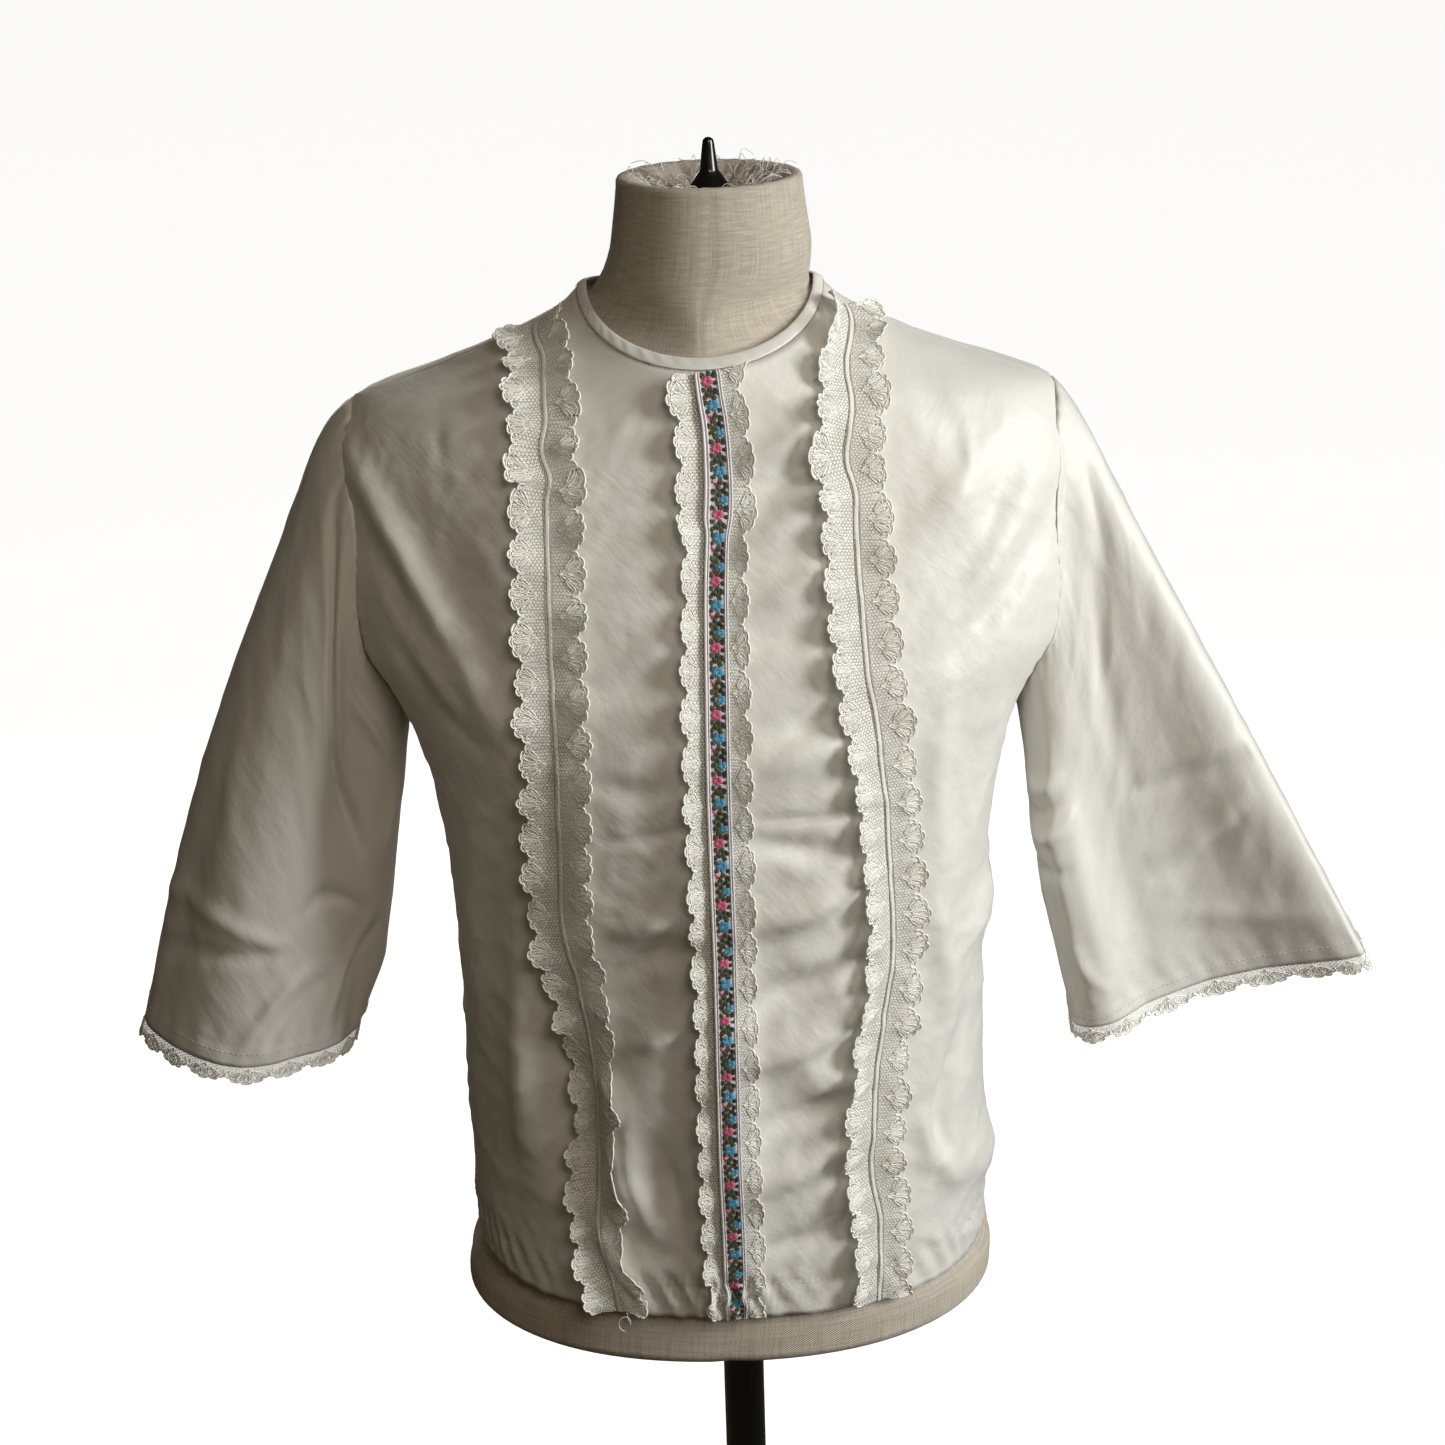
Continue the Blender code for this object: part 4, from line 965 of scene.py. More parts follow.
def net_material(colour):
    """Cotton bobbin net, twisted threads in small six-sided cells: see-through between the threads."""
    material, tree, shader = new_material("cotton_bobbin_net", colour, 0.7, Sheen_Weight=0.8)
    where = add_node(tree, "ShaderNodeTexCoord").outputs["UV"]
    parts = add_node(tree, "ShaderNodeSeparateXYZ", where)
    # each of the three sets of threads is 1.7 mm apart, as wide as such net's cells
    cell = 2 * math.pi / 0.0017
    lines = []
    for lean in (0.0, 60.0, 120.0):
        ways = (("X", math.cos(math.radians(lean))), ("Y", math.sin(math.radians(lean))))
        both = []
        for axis, share in ways:
            turns = add_node(tree, "ShaderNodeMath", parts.outputs[axis], cell * share, operation="MULTIPLY")
            both.append(turns.outputs[0])
        both = add_node(tree, "ShaderNodeMath", *both, operation="ADD").outputs[0]
        lines.append(add_node(tree, "ShaderNodeMath", both, operation="COSINE").outputs[0])
    top = add_node(tree, "ShaderNodeMath", *lines[:2], operation="MAXIMUM").outputs[0]
    top = add_node(tree, "ShaderNodeMath", top, lines[2], operation="MAXIMUM").outputs[0]
    edge = {"interpolation_type": "SMOOTHSTEP"}
    thread = add_node(tree, "ShaderNodeMapRange", top, 0.52, 0.86, 0.0, 1.0, **edge).outputs[0]
    dense = add_node(tree, "ShaderNodeAttribute", attribute_name="dense", attribute_type="GEOMETRY")
    dense = dense.outputs["Fac"]
    cover = add_node(tree, "ShaderNodeMath", thread, dense, operation="MAXIMUM", use_clamp=True).outputs[0]
    # the gaps keep part of their cover and are painted darker than the threads: painted shade of the threads
    # on the cloth behind them; the finest hairs of the gaps are too thin to draw, and only veil and shade
    # what is behind them
    alpha_with_shaded_gaps = add_node(tree, "ShaderNodeMath", cover, 0.42, operation="MAXIMUM")
    tree.links.new(alpha_with_shaded_gaps.outputs[0], shader.inputs["Alpha"])
    # painted shade: the net's gaps take a darker copy of the lace colour
    colour_between(tree, shader, cover, shade(colour, (0.66, 0.62, 0.55)), colour)
    bump = add_node(tree, "ShaderNodeBump", Height=thread, Strength=1.0, Distance=0.0007)
    tree.links.new(bump.outputs[0], shader.inputs["Normal"])
    return material


def thread_material(name, colour, roughness):
    """Mercerised cotton, rayon or linen thread, twisted: matt with a soft shine along the strands."""
    material, tree, shader = new_material(name, colour, roughness, Sheen_Weight=0.35)
    where = add_node(tree, "ShaderNodeTexCoord").outputs["Object"]
    strands = add_node(tree, "ShaderNodeTexNoise", where, Scale=900.0, Detail=2.0)
    colour_between(tree, shader, strands.outputs["Fac"], shade(colour, 0.80), colour)
    return material


def ribbon_material(colour):
    """Woven ribbon ground, ribbed across: fine lilac-white ribs with a low shine."""
    material, tree, shader = new_material("woven_rib_ribbon", colour, 0.5, Sheen_Weight=0.2)
    where = add_node(tree, "ShaderNodeTexCoord").outputs["UV"]
    along = add_node(tree, "ShaderNodeSeparateXYZ", where).outputs["Y"]
    # ribs are 0.8 mm apart
    turned = add_node(tree, "ShaderNodeMath", along, 2 * math.pi / 0.0008, operation="MULTIPLY").outputs[0]
    ribs = add_node(tree, "ShaderNodeMath", turned, operation="SINE").outputs[0]
    bump = add_node(tree, "ShaderNodeBump", Height=ribs, Strength=0.5, Distance=0.00018)
    tree.links.new(bump.outputs[0], shader.inputs["Normal"])
    noise = add_node(tree, "ShaderNodeTexNoise", where, Scale=350.0, Detail=3.0)
    colour_between(tree, shader, noise.outputs["Fac"], shade(colour, 0.82), colour)
    return material


def linen_material(colour):
    """Unbleached linen, plain woven from uneven spun yarn: slubs make light and dark bars both ways."""
    material, tree, shader = new_material("unbleached_linen", colour, 0.85, Sheen_Weight=0.15)
    where = add_node(tree, "ShaderNodeTexCoord").outputs["UV"]
    # yarns are 0.6 mm apart in such linen, and are drawn 1.3 mm apart so that they show
    noise = add_node(tree, "ShaderNodeTexNoise", where, Scale=90.0, Detail=2.0).outputs["Color"]
    bent = add_node(tree, "ShaderNodeVectorMath", noise, operation="SCALE", Scale=0.0012).outputs[0]
    bent = add_node(tree, "ShaderNodeVectorMath", where, bent, operation="ADD").outputs[0]
    parts = add_node(tree, "ShaderNodeSeparateXYZ", bent)
    waves = []
    for axis in ("X", "Y"):
        turns = (parts.outputs[axis], 2 * math.pi / 0.0013)
        turned = add_node(tree, "ShaderNodeMath", *turns, operation="MULTIPLY").outputs[0]
        waves.append(add_node(tree, "ShaderNodeMath", turned, operation="SINE").outputs[0])
    weave = add_node(tree, "ShaderNodeMath", *waves, operation="MULTIPLY").outputs[0]
    bars = crossed_noise(tree, where, 900.0, 0.035)
    half = add_node(tree, "ShaderNodeMath", bars, 0.5, operation="MULTIPLY").outputs[0]
    shaded = add_node(tree, "ShaderNodeValToRGB", half)
    for end, place, tint in zip(shaded.color_ramp.elements, (0.36, 0.62), (0.74, 1.12)):
        end.position = place
        end.color = (*(min(c, 1.0) for c in shade(colour, tint)), 1.0)
    tree.links.new(shaded.outputs["Color"], shader.inputs["Base Color"])
    slubs = add_node(tree, "ShaderNodeBump", Height=bars, Strength=0.3, Distance=0.0004).outputs[0]
    fine = add_node(tree, "ShaderNodeBump", Height=weave, Normal=slubs, Strength=0.6, Distance=0.0003)
    tree.links.new(fine.outputs[0], shader.inputs["Normal"])
    return material


def gloss_paint_material(colour):
    """Steel under black gloss enamel, sprayed: deep black with a faint orange peel in its shine."""
    coat = {"Coat_Weight": 0.6, "Coat_Roughness": 0.08}
    material, tree, shader = new_material("black_gloss_enamel", colour, 0.22, **coat)
    where = add_node(tree, "ShaderNodeTexCoord").outputs["Object"]
    peel = add_node(tree, "ShaderNodeTexNoise", where, Scale=350.0, Detail=2.0).outputs["Fac"]
    bump = add_node(tree, "ShaderNodeBump", Height=peel, Strength=0.15, Distance=0.0004)
    tree.links.new(bump.outputs[0], shader.inputs["Normal"])
    wear = add_node(tree, "ShaderNodeTexNoise", where, Scale=60.0, Detail=6.0).outputs["Fac"]
    rough = add_node(tree, "ShaderNodeMapRange", wear, 0.3, 0.8, 0.14, 0.36)
    tree.links.new(rough.outputs[0], shader.inputs["Roughness"])
    return material


def pearl_material(colour):
    """Pearly plastic, moulded: clouded milk white under a clear shine."""
    material, tree, shader = new_material("pearl_button_plastic", colour, 0.25, Coat_Weight=0.5)
    where = add_node(tree, "ShaderNodeTexCoord").outputs["Object"]
    cloud = add_node(tree, "ShaderNodeTexNoise", where, Scale=420.0, Detail=3.0, Distortion=1.5)
    colour_between(tree, shader, cloud.outputs["Fac"], shade(colour, 0.78), colour)
    return material


@cache
def material_of(kind):
    """Each finish, made once."""
    blouse = bpy.context.scene.blouse_settings
    form = bpy.context.scene.form_settings
    makers = {
        "cotton": (cotton_material, blouse.cotton),
        "net": (net_material, blouse.lace),
        "ribbon": (ribbon_material, blouse.ribbon),
        "linen": (linen_material, form.linen),
        "paint": (gloss_paint_material, form.paint),
        "pearl": (pearl_material, linear("#efece2")),
    }
    if kind in makers:
        maker, colour = makers[kind]
        return maker(tuple(colour))
    # threads: name, colour, roughness
    threads = {
        "cord": ("mercerised_lace_cord", blouse.lace, 0.65),
        "tape": ("cotton_lace_tape", shade(blouse.lace, 0.92), 0.65),
        "sewing": ("cotton_sewing_thread", shade(blouse.cotton, 0.86), 0.65),
        "ribbon_cord": ("ribbon_edge_cord", linear("#f2eeee"), 0.65),
        "pink": ("rayon_thread_rose", blouse.pink, 0.45),
        "deep_pink": ("rayon_thread_deep_rose", linear("#a8325c"), 0.45),
        "blue": ("rayon_thread_blue", blouse.blue, 0.45),
        "pale_blue": ("rayon_thread_pale_blue", linear("#7fb6c9"), 0.45),
        "green": ("rayon_thread_leaf", blouse.green, 0.45),
        "brown": ("rayon_thread_stem", blouse.brown, 0.45),
        "dark": ("rayon_thread_dark", linear("#2a2622"), 0.45),
        "linen_thread": ("linen_thread", linear("#ece7dc"), 0.8),
    }
    name, colour, roughness = threads[kind]
    return thread_material(name, tuple(colour), roughness)


@cache
def panel_of(name):
    """A body panel's grid, worked out once."""
    share = bpy.context.scene.blouse_settings.fold_share
    # number of columns and rows, first and last u, face
    columns, rows, first, last, face = {
        "blouse_front": (*FRONT_GRID, -1, 1, -1),
        "blouse_back_right": (*BACK_GRID, -1, 0, 1),
        "blouse_back_left": (*BACK_GRID, 0, 1, 1),
    }[name]
    return Panel(np.linspace(first, last, columns), np.linspace(0, 1, rows), face, share)


@cache
def strip_of(table):
    """The cloth under a trim of the front, worked out once."""
    return Strip(panel_of("blouse_front"), table, STRIP_REACH)


def ride(obj, node=None):
    """Puts a piece on the blouse's one body, and hides the CAD node that it stands for."""
    if node:
        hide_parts(node)
    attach(obj, "root")


def build_body():
    """The front and the two back panels."""
    thick = bpy.context.scene.blouse_settings.cloth_thick
    # name, flat width, flat length, flat area
    flats = (
        ("blouse_front", 0.50, 0.60, 0.265),
        ("blouse_back_right", 0.26, 0.60, 0.130),
        ("blouse_back_left", 0.26, 0.60, 0.130),
    )
    for name, width, length, area in flats:
        panel = panel_of(name)
        grid = (panel.points, material_of("cotton"), panel.across, panel.from_hem)
        obj = grid_object(name + "_cloth", *grid, flip=name != "blouse_front")
        thicken(obj, thick)
        ride(obj, name)


def sleeve_surface(name, turn, along):
    """Outer points of a sleeve. turn is 0 on its outer edge, along is 0 at the armhole, 1 at the hem."""
    side, hem_x, hem_z, half_width, half_depth, tilt, bow, hem_y = SLEEVES[name]
    height = (ARMPIT + SHOULDER_TIP) / 2 + (SHOULDER_TIP - ARMPIT) / 2 * np.cos(turn)
    middle, half, front, back, power = section(BODY_SECTIONS, height)
    depth = np.where(np.sin(turn) >= 0, front, back)
    y = -ARMHOLE_HALF_DEPTH * np.sin(turn)
    reach = half * np.clip(1 - (np.abs(y) / depth) ** power, 0, 1) ** (1 / power)
    start = np.stack([middle + side * (reach + ARMHOLE_GAP), y, height], -1)
    lean = math.radians(tilt)
    outward = np.array([side * math.cos(lean), 0, math.sin(lean)])
    centre = np.array([side * hem_x, hem_y, hem_z])
    hem = centre + outward * (half_width * np.cos(turn))[..., None]
    depth_share = np.sign(np.sin(turn)) * np.abs(np.sin(turn)) ** (0.5 if side > 0 else 0.85)
    if side > 0:
        depth_share = np.where(np.sin(turn) > 0, steady_curve(*HEM_FRONT, np.cos(turn)), depth_share)
    hem = hem + np.array([0, -half_depth, 0]) * depth_share[..., None]
    if side < 0:
        # the right sleeve's hem sags a little in front
        hem[..., 2] -= 0.006 * np.exp(-((turned_off(turn, 88.0) / 26.0) ** 2))
    share = along[..., None]
    points = start * (1 - share) + hem * share
    if side > 0:
        # the left sleeve is as flat as its hem soon after the armhole
        sooner = along**0.36
        points[..., 1] = start[..., 1] * (1 - sooner) + hem[..., 1] * sooner
    axis = centre - np.array([side * SHOULDER_X, 0, (ARMPIT + SHOULDER_TIP) / 2])
    away = np.cross(unit(axis), (0, 1, 0))
    away = away * np.sign(away[0] * side)
    outer_share = ((1 + np.cos(turn)) / 2) ** 2
    near = along / SLEEVE_HEAD_AT
    head = SLEEVE_HEAD * (0.45 if side > 0 else 1.0) * near * np.exp(1 - near)
    hump = np.sin(np.clip(along, 0, 1) * math.pi)
    swell = (head + bow * hump) * outer_share
    points = points + away * swell[..., None]
    points[..., 1] -= np.sin(turn) * hump * SLEEVE_ROUNDING
    return points


def turned_off(turn, at_deg):
    away = turn - np.radians(at_deg)
    return np.degrees(np.arctan2(np.sin(away), np.cos(away)))


def sleeve_folds(name, turn, along, share):
    found = np.zeros(np.shape(turn))
    for turn_deg, half_deg, start, end, height in SLEEVE_FOLDS[name]:
        reach = smooth_step(start, (start + end) / 2, along)
        reach = reach * (1 - 0.6 * smooth_step((start + end) / 2, end, along))
        found = found + height * np.exp(-((turned_off(turn, turn_deg) / half_deg) ** 2)) * reach
    # 1 of along is about as long as 150 degrees of turn is wide
    span = 150.0
    for turn0, along0, turn1, along1, bow, width, height in SLEEVE_CREASES[name]:
        row = ((turn0, along0 * span, turn1, along1 * span, bow, width, height * share),)
        off = turned_off(turn, (turn0 + turn1) / 2) + (turn0 + turn1) / 2
        found = found + soft_creases(off, along * span, row)
    return found


@cache
def sleeve_of(name):
    """(points, normals, length round, length along) of a sleeve, worked out once."""
    columns, rows = SLEEVE_GRID
    turns = np.linspace(0, 2 * math.pi, columns, endpoint=False)
    along, turn = np.meshgrid(np.linspace(0, 1, rows), turns, indexing="ij")
    plain = sleeve_surface(name, turn, along)
    normals = outward_normals(plain)
    share = bpy.context.scene.blouse_settings.fold_share
    folds = sleeve_folds(name, turn, along, share)
    down = run_of(plain)
    across = run_of(wrapped(plain, 1), axis=1)
    round_at = across[:, :-1]
    fade = smooth_step(0.0, 0.08, along)
    folds = folds + rumple(round_at, down, 31, SLEEVE_RUMPLES, SLEEVE_RUMPLE) * fade
    folds = folds + crumples(round_at, down, 33, CRUMPLES, SLEEVE_CRUMPLE) * fade * share
    folds = folds + seam_puckers(round_at, down, 7)
    from_hem = down[-1:] - down
    folds = folds + turned_edge(from_hem, SLEEVE_HEM, 0.0003, 0.0005, 0.0003, 0.0012)
    wave = np.sin(round_at * 2 * math.pi / CUFF_PUCKER + 1.4 * np.sin(round_at * 55))
    folds = folds + 0.0003 * wave * np.exp(-(((from_hem - SLEEVE_HEM) / 0.01) ** 2))
    return plain + normals * folds[..., None], normals, across, wrapped(down, 1)


def build_sleeves():
    """Both flared sleeves."""
    thick = bpy.context.scene.blouse_settings.cloth_thick
    for name, (side, *_) in SLEEVES.items():
        points, normals, across, down = sleeve_of(name)
        grid = (points, material_of("cotton"), across, down)
        obj = grid_object(name + "_cloth", *grid, closed=True, flip=faces_in(points, normals))
        thicken(obj, thick)
        ride(obj, name)


def faces_in(points, normals):
    """True if a closed grid's own faces look inwards."""
    across = points[5, 1] - points[5, 0]
    along = points[6, 0] - points[5, 0]
    return float(np.dot(np.cross(across, along), normals[5, 0])) < 0


def build_binding():
    """The bias binding round the neckline, rolled over its edge, with small slanting puckers."""
    turn = np.linspace(-1, 1, 301) * (math.pi - BACK_OPENING)
    low = ring_on_neck(BINDING_LOW, turn)
    high = ring_on_neck(BINDING_HIGH, turn)
    across_way = high - low
    width = np.linalg.norm(across_way, axis=1, keepdims=True)
    across_way = across_way / width
    along_way = np.gradient(low, axis=0)
    out = unit(np.cross(along_way, across_way))
    out = out * np.sign(out[:, 2:3] + 1e-9)
    share = np.linspace(0, 1, 15)
    around = np.concatenate([share, np.full(5, 1.0), share[::-1][3:]])
    bulge = 0.0006 * np.sin(share * math.pi) ** 0.4 + 0.0007
    roll = 0.0007 * np.cos(np.linspace(0.3, math.pi - 0.3, 5))
    inner = np.full(len(share) - 3, -0.0009)
    lift = np.concatenate([bulge, roll, inner])
    over = np.sin(np.linspace(0.3, math.pi - 0.3, 5))
    push = np.concatenate([0 * bulge, 0.0006 * over, 0 * inner])
    run = run_of(low)[:, None]
    slant = run + around * 0.006
    wave = np.sin(slant * 2 * math.pi / BINDING_PUCKER + 1.4 * np.sin(run * 47))
    wave = wave * np.sin(np.clip(around, 0, 1) * math.pi) * np.where(lift > -0.0005, 1, 0)
    lift = lift + 0.00014 * wave
    points = low[:, None] + across_way[:, None] * (around * width + push)[..., None]
    points = points + out[:, None] * lift[..., None]
    points = points.transpose(1, 0, 2)
    sizes = (run.T, (around * BINDING_WIDTH)[:, None])
    obj = grid_object("neck_binding_cloth", points, material_of("cotton"), *sizes)
    if obj.data.polygons[0].normal.dot(Vector(out[0])) < 0:
        obj.data.flip_normals()
    ride(obj, "neck_binding")
    seam = low - across_way * 0.0006 + out * 0.0006
    at = np.arange(4, len(turn) - 4, 2)
    sewn = stitches(seam[at], along_way[at], out[at], 0.0022, STITCH_WIDTH, STITCH_HEIGHT)
    thread = new_object("neck_binding_stitches", *sewn, material_of("sewing"))
    ride(thread)


def shell_outline(lobes, shrink):
    """One shell of the edge: (along, across), along -1 to 1 over its pitch, across 0 at its foot."""
    swing = np.linspace(-SHELL_SWING, SHELL_SWING, SHELL_STEPS)
    lobe = np.abs(np.sin((swing / SHELL_SWING + 1) / 2 * lobes * math.pi)) ** 0.6 if lobes else 1.0
    inside = 1 - smooth_step(0.8, 1.0, np.abs(swing) / SHELL_SWING)
    reach = shrink * (1 - LOBE_DEPTH * (1 - lobe) * inside)
    sink = -math.cos(SHELL_SWING)
    along = np.sin(swing) * reach
    across = (np.cos(swing) * reach + sink) / (1 + sink)
    return along, across


class Lace:
    """Lace with a scalloped edge on each side of its middle, laid along a strip of cloth."""

    def __init__(self, place, length, shells, root, valley, tip, wave, curl, seed, inner_rings=1):
        self.place = place
        self.length = length
        self.shells = shells
        self.pitch = length / shells
        self.root = root
        self.valley = valley
        self.tip = tip
        self.wave = wave
        self.curl = curl
        self.inner_rings = inner_rings
        rng = np.random.default_rng(seed)
        self.phase = rng.uniform(0, 2 * math.pi, (2, 4))
        self.size = rng.uniform(0.92, 1.08, (2, shells + 1))

    def middles(self, side):
        """Where each shell's middle is. The right side's shells stand between the left side's."""
        return (np.arange(self.shells + side) + (0.5, 0.0)[side]) * self.pitch

    def lift(self, along, off, side):
        """Height over the cloth: gathered at the root, cupped shells and a waving edge."""
        k = np.clip((np.abs(off) - self.root) / (self.tip - self.root), 0, 1.2)
        phase = self.phase[side]
        turns = along / self.pitch * 2 * math.pi
        curl = self.curl(along)
        sway = np.sin(turns * 0.5 + phase[0]) + 0.6 * np.sin(turns * 0.27 + phase[1])
        sway = sway + 0.35 * np.sin(turns * 1.0 + phase[2])
        rise = 0.0010 + self.wave * (0.9 + 0.75 * sway) + curl * (1.2 + 1.3 * np.sin(turns * 0.41 + phase[3]))
        rise = rise + (-SHELL_CUP, SHELL_CUP)[side] * np.cos(turns) + SHELL_LIFTS[side]
        gather = 0.00022 * np.sin(turns * self.pitch / 0.0026) * np.exp(-((k / 0.3) ** 2))
        return ON_CLOTH + 0.0003 + np.maximum(rise, -0.0002) * k**1.2 + gather

    def point(self, along, off, side, lift=0.0):
        sign = (-1, 1)[side]
        k = np.clip((off - self.root) / (self.tip - self.root), 0, 1.2)
        turns = along / self.pitch * 2 * math.pi
        curl = self.curl(along) / 0.004
        slip = 0.0012 * k * np.sin(turns * 0.33 + self.phase[side][1])
        slip = slip * (1 + 1.6 * curl)
        draw = 1 - k * curl * 0.16 * (1 + np.sin(turns * 0.37 + self.phase[side][2]))
        height = self.lift(along, off, side) + lift
        return self.place(self.cut(along + slip), sign * off * draw, height)

    def cut(self, along):
        """Lace is cut off at both ends of its seam."""
        return np.clip(along, 0, self.length)

    def edge(self, side, lobes=SHELL_LOBES, shrink=1.0):
        """(along, off) of every shell's outline, [shell, step]."""
        along, across = shell_outline(lobes, shrink)
        middle = self.middles(side)[:, None]
        tip = self.valley + (self.tip - self.valley) * self.size[side][: len(middle), None]
        return middle + along * self.pitch / 2, self.valley + (tip - self.valley) * across

    def sheet(self, side):
        """Grid of the net from the root to the shells' edge, with where it is worked densely."""
        along, off = self.edge(side)
        count, steps = along.shape
        share = np.linspace(-1, 1, steps)
        root_along = self.middles(side)[:, None] + share * self.pitch / 2
        t = np.linspace(0, 1, SHELL_COLUMNS)[:, None, None]
        grid_along = root_along * (1 - t**1.3) + along * t**1.3
        grid_off = self.root + (off - self.root) * t
        fan = np.abs(np.sin((share + 1) / 2 * SHELL_LOBES * math.pi))
        dense = smooth_step(0.45, 0.75, fan) * smooth_step(0.34, 0.46, t) * (1 - smooth_step(0.80, 0.88, t))
        dense = np.maximum(0.85 * dense, smooth_step(0.95, 0.98, t) + 0 * fan)
        dense = np.broadcast_to(dense, grid_along.shape)
        return [g.reshape(SHELL_COLUMNS, count * steps) for g in (grid_along, grid_off, dense)]

    def threads(self, side, radius):
        """Raised cords: the lobed edge, an arc inside it, and a fan of petals between rays."""
        parts = []

        def lay(along, off, lift, thick, closed=False):
            points = self.point(along, off, side, lift)
            above = self.point(along, off, side, lift + 0.001)
            parts.append(tubes(points, unit(above - points), thick, closed=closed))

        along, off = self.edge(side)
        lay(along, off, 0.0002, radius)
        for ring in range(self.inner_rings):
            inner_along, inner_off = self.edge(side, 0, 0.80 - 0.16 * ring)
            lay(inner_along[:, ::2], inner_off[:, ::2], 0.0002, radius * 0.6)
        low = self.root + 0.35 * (self.valley - self.root)
        foot = np.stack([self.middles(side), 0 * self.middles(side) + low], -1)[:, None]
        ends = np.stack(self.edge(side, 0, 0.80), -1)
        step = (SHELL_STEPS - 1) // SHELL_LOBES
        steps = np.linspace(0, 1, 6)[None, :, None]
        loop = np.linspace(0, 2 * math.pi, 12, endpoint=False)[None, :, None]
        rays = []
        petals = []
        for lobe in range(SHELL_LOBES):
            start, middle, end = (ends[:, [lobe * step + i]] for i in (0, step // 2, step))
            if lobe:
                rays.append(foot + (start - foot) * steps)
            reach = 0.66 + 0.28 * np.cos(loop)
            petals.append(foot + (middle - foot) * reach + (end - start) * 0.31 * reach * np.sin(loop))
        rays, petals = np.concatenate(rays), np.concatenate(petals)
        lay(rays[..., 0], rays[..., 1], 0.0002, radius * 0.5)
        lay(petals[..., 0], petals[..., 1], 0.0003, radius * 0.55, closed=True)
        return joined(parts)


def lace_objects(name, lace, sides):
    """The net of a lace's edges on these sides, and its raised cords."""
    radius = bpy.context.scene.blouse_settings.cord_radius
    nets = []
    densities = []
    uvs = []
    cords = []
    for side in sides:
        along, off, dense = lace.sheet(side)
        points = lace.point(along, off, side)
        faces = quads(*points.shape[:2], False)
        if side == 0:
            faces = faces[:, ::-1]
        uv = np.stack([along, off + (side - sides[0]) * 0.05], -1).reshape(-1, 2)
        uvs.append(uv[faces.reshape(-1)])
        nets.append((points.reshape(-1, 3), faces))
        densities.append(dense.reshape(-1))
        cords.append(lace.threads(side, radius))
    net = new_object(name + "_net", *joined(nets), material_of("net"), np.concatenate(uvs))
    layer = net.data.attributes.new("dense", "FLOAT", "POINT")
    layer.data.foreach_set("value", np.concatenate(densities).astype(np.float32))
    return net, new_object(name + "_cords", *joined(cords), material_of("cord"))


def lace_pieces(node, lace, more=()):
    """A gathered lace band of the front: its net, its cords and what is sewn on it."""
    net, cords = lace_objects(node + "_band", lace, (0, 1))
    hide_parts(node)
    for obj in (net, cords, *more):
        ride(obj)


def tape_pieces(name, strip, half, top, seed):
    """The raised tape over the lace's gathered middle, and a row of stitches on each side of it."""
    share = np.array([-1.15, -1.05, -0.92, -0.6, 0.0, 0.6, 0.92, 1.05, 1.15])
    along = np.linspace(0, strip.length, 500)[:, None]
    rng = np.random.default_rng(seed)
    phase = rng.uniform(0, 6.28, 2)
    wander = 0.0003 * np.sin(along * 90 + phase[0]) + 0.0002 * np.sin(along * 210 + phase[1])
    crown = (top, top * 0.92, top * 0.8, 0.0002, 0.0)
    height = np.interp(np.abs(share), (0.0, 0.6, 0.92, 1.05, 1.15), crown) + 0.0005
    ribs = 0.0003 * np.sin(along * 2 * math.pi / 0.0031 + 1.5 * np.sin(along * 400)) * (1 - share**2)
    points = strip.at(along, share * half + wander, height + ribs + 0.0004)
    tape = grid_object(name + "_tape", points, material_of("tape"), share * half, along)
    rows = []
    for sign in (-1, 1):
        at = np.arange(0.001, strip.length, 0.0028)
        off = sign * (half + 0.0006) + 0 * at
        middle, up = strip.up(at, off, 0.0011)
        ahead = strip.at(at + 0.001, off, 0.0011)
        rows.append(stitches(middle, ahead - middle, up, 0.0021, 0.0005, STITCH_HEIGHT))
    thread = new_object(name + "_stitches", *joined(rows), material_of("sewing"))
    return [tape, thread]


def no_curl(along):
    return 0.0 * along


def right_curl(along):
    """How far the right side lace's edges fold over: near the hem."""
    return 0.0034 * (1 - smooth_step(0.16, 0.30, along))


def left_curl(along):
    """How far the left side lace's edges fold over: a little at the hem, more at the shoulder."""
    return 0.0012 * (1 - smooth_step(0.05, 0.5, along)) + 0.004 * smooth_step(0.55, 0.62, along)


def build_side_lace():
    """The two gathered lace bands beside the centre front, which run up and over the shoulders."""
    wave = bpy.context.scene.blouse_settings.lace_wave
    rows = (
        ("side_lace_right", SIDE_LACE_RIGHT, 41, right_curl),
        ("side_lace_left", SIDE_LACE_LEFT, 42, left_curl),
    )
    edge = (LACE_ROOT, LACE_VALLEY, LACE_TIP)
    for name, table, seed, curl in rows:
        strip = strip_of(table)
        lace = Lace(strip.at, strip.length, SIDE_SCALLOPS, *edge, wave, curl, seed)
        lace_pieces(name, lace, tape_pieces(name, strip, 0.0010, 0.0004, seed))


def build_centre_lace():
    """The flat lace down the centre front, under the ribbon."""
    wave = bpy.context.scene.blouse_settings.lace_wave * 0.8
    strip = strip_of(CENTRE_LACE)
    edge = (CENTRE_ROOT, CENTRE_VALLEY, CENTRE_TIP)
    lace = Lace(strip.at, strip.length, CENTRE_SCALLOPS, *edge, wave, no_curl, 43, inner_rings=2)
    lace_pieces("centre_lace", lace)


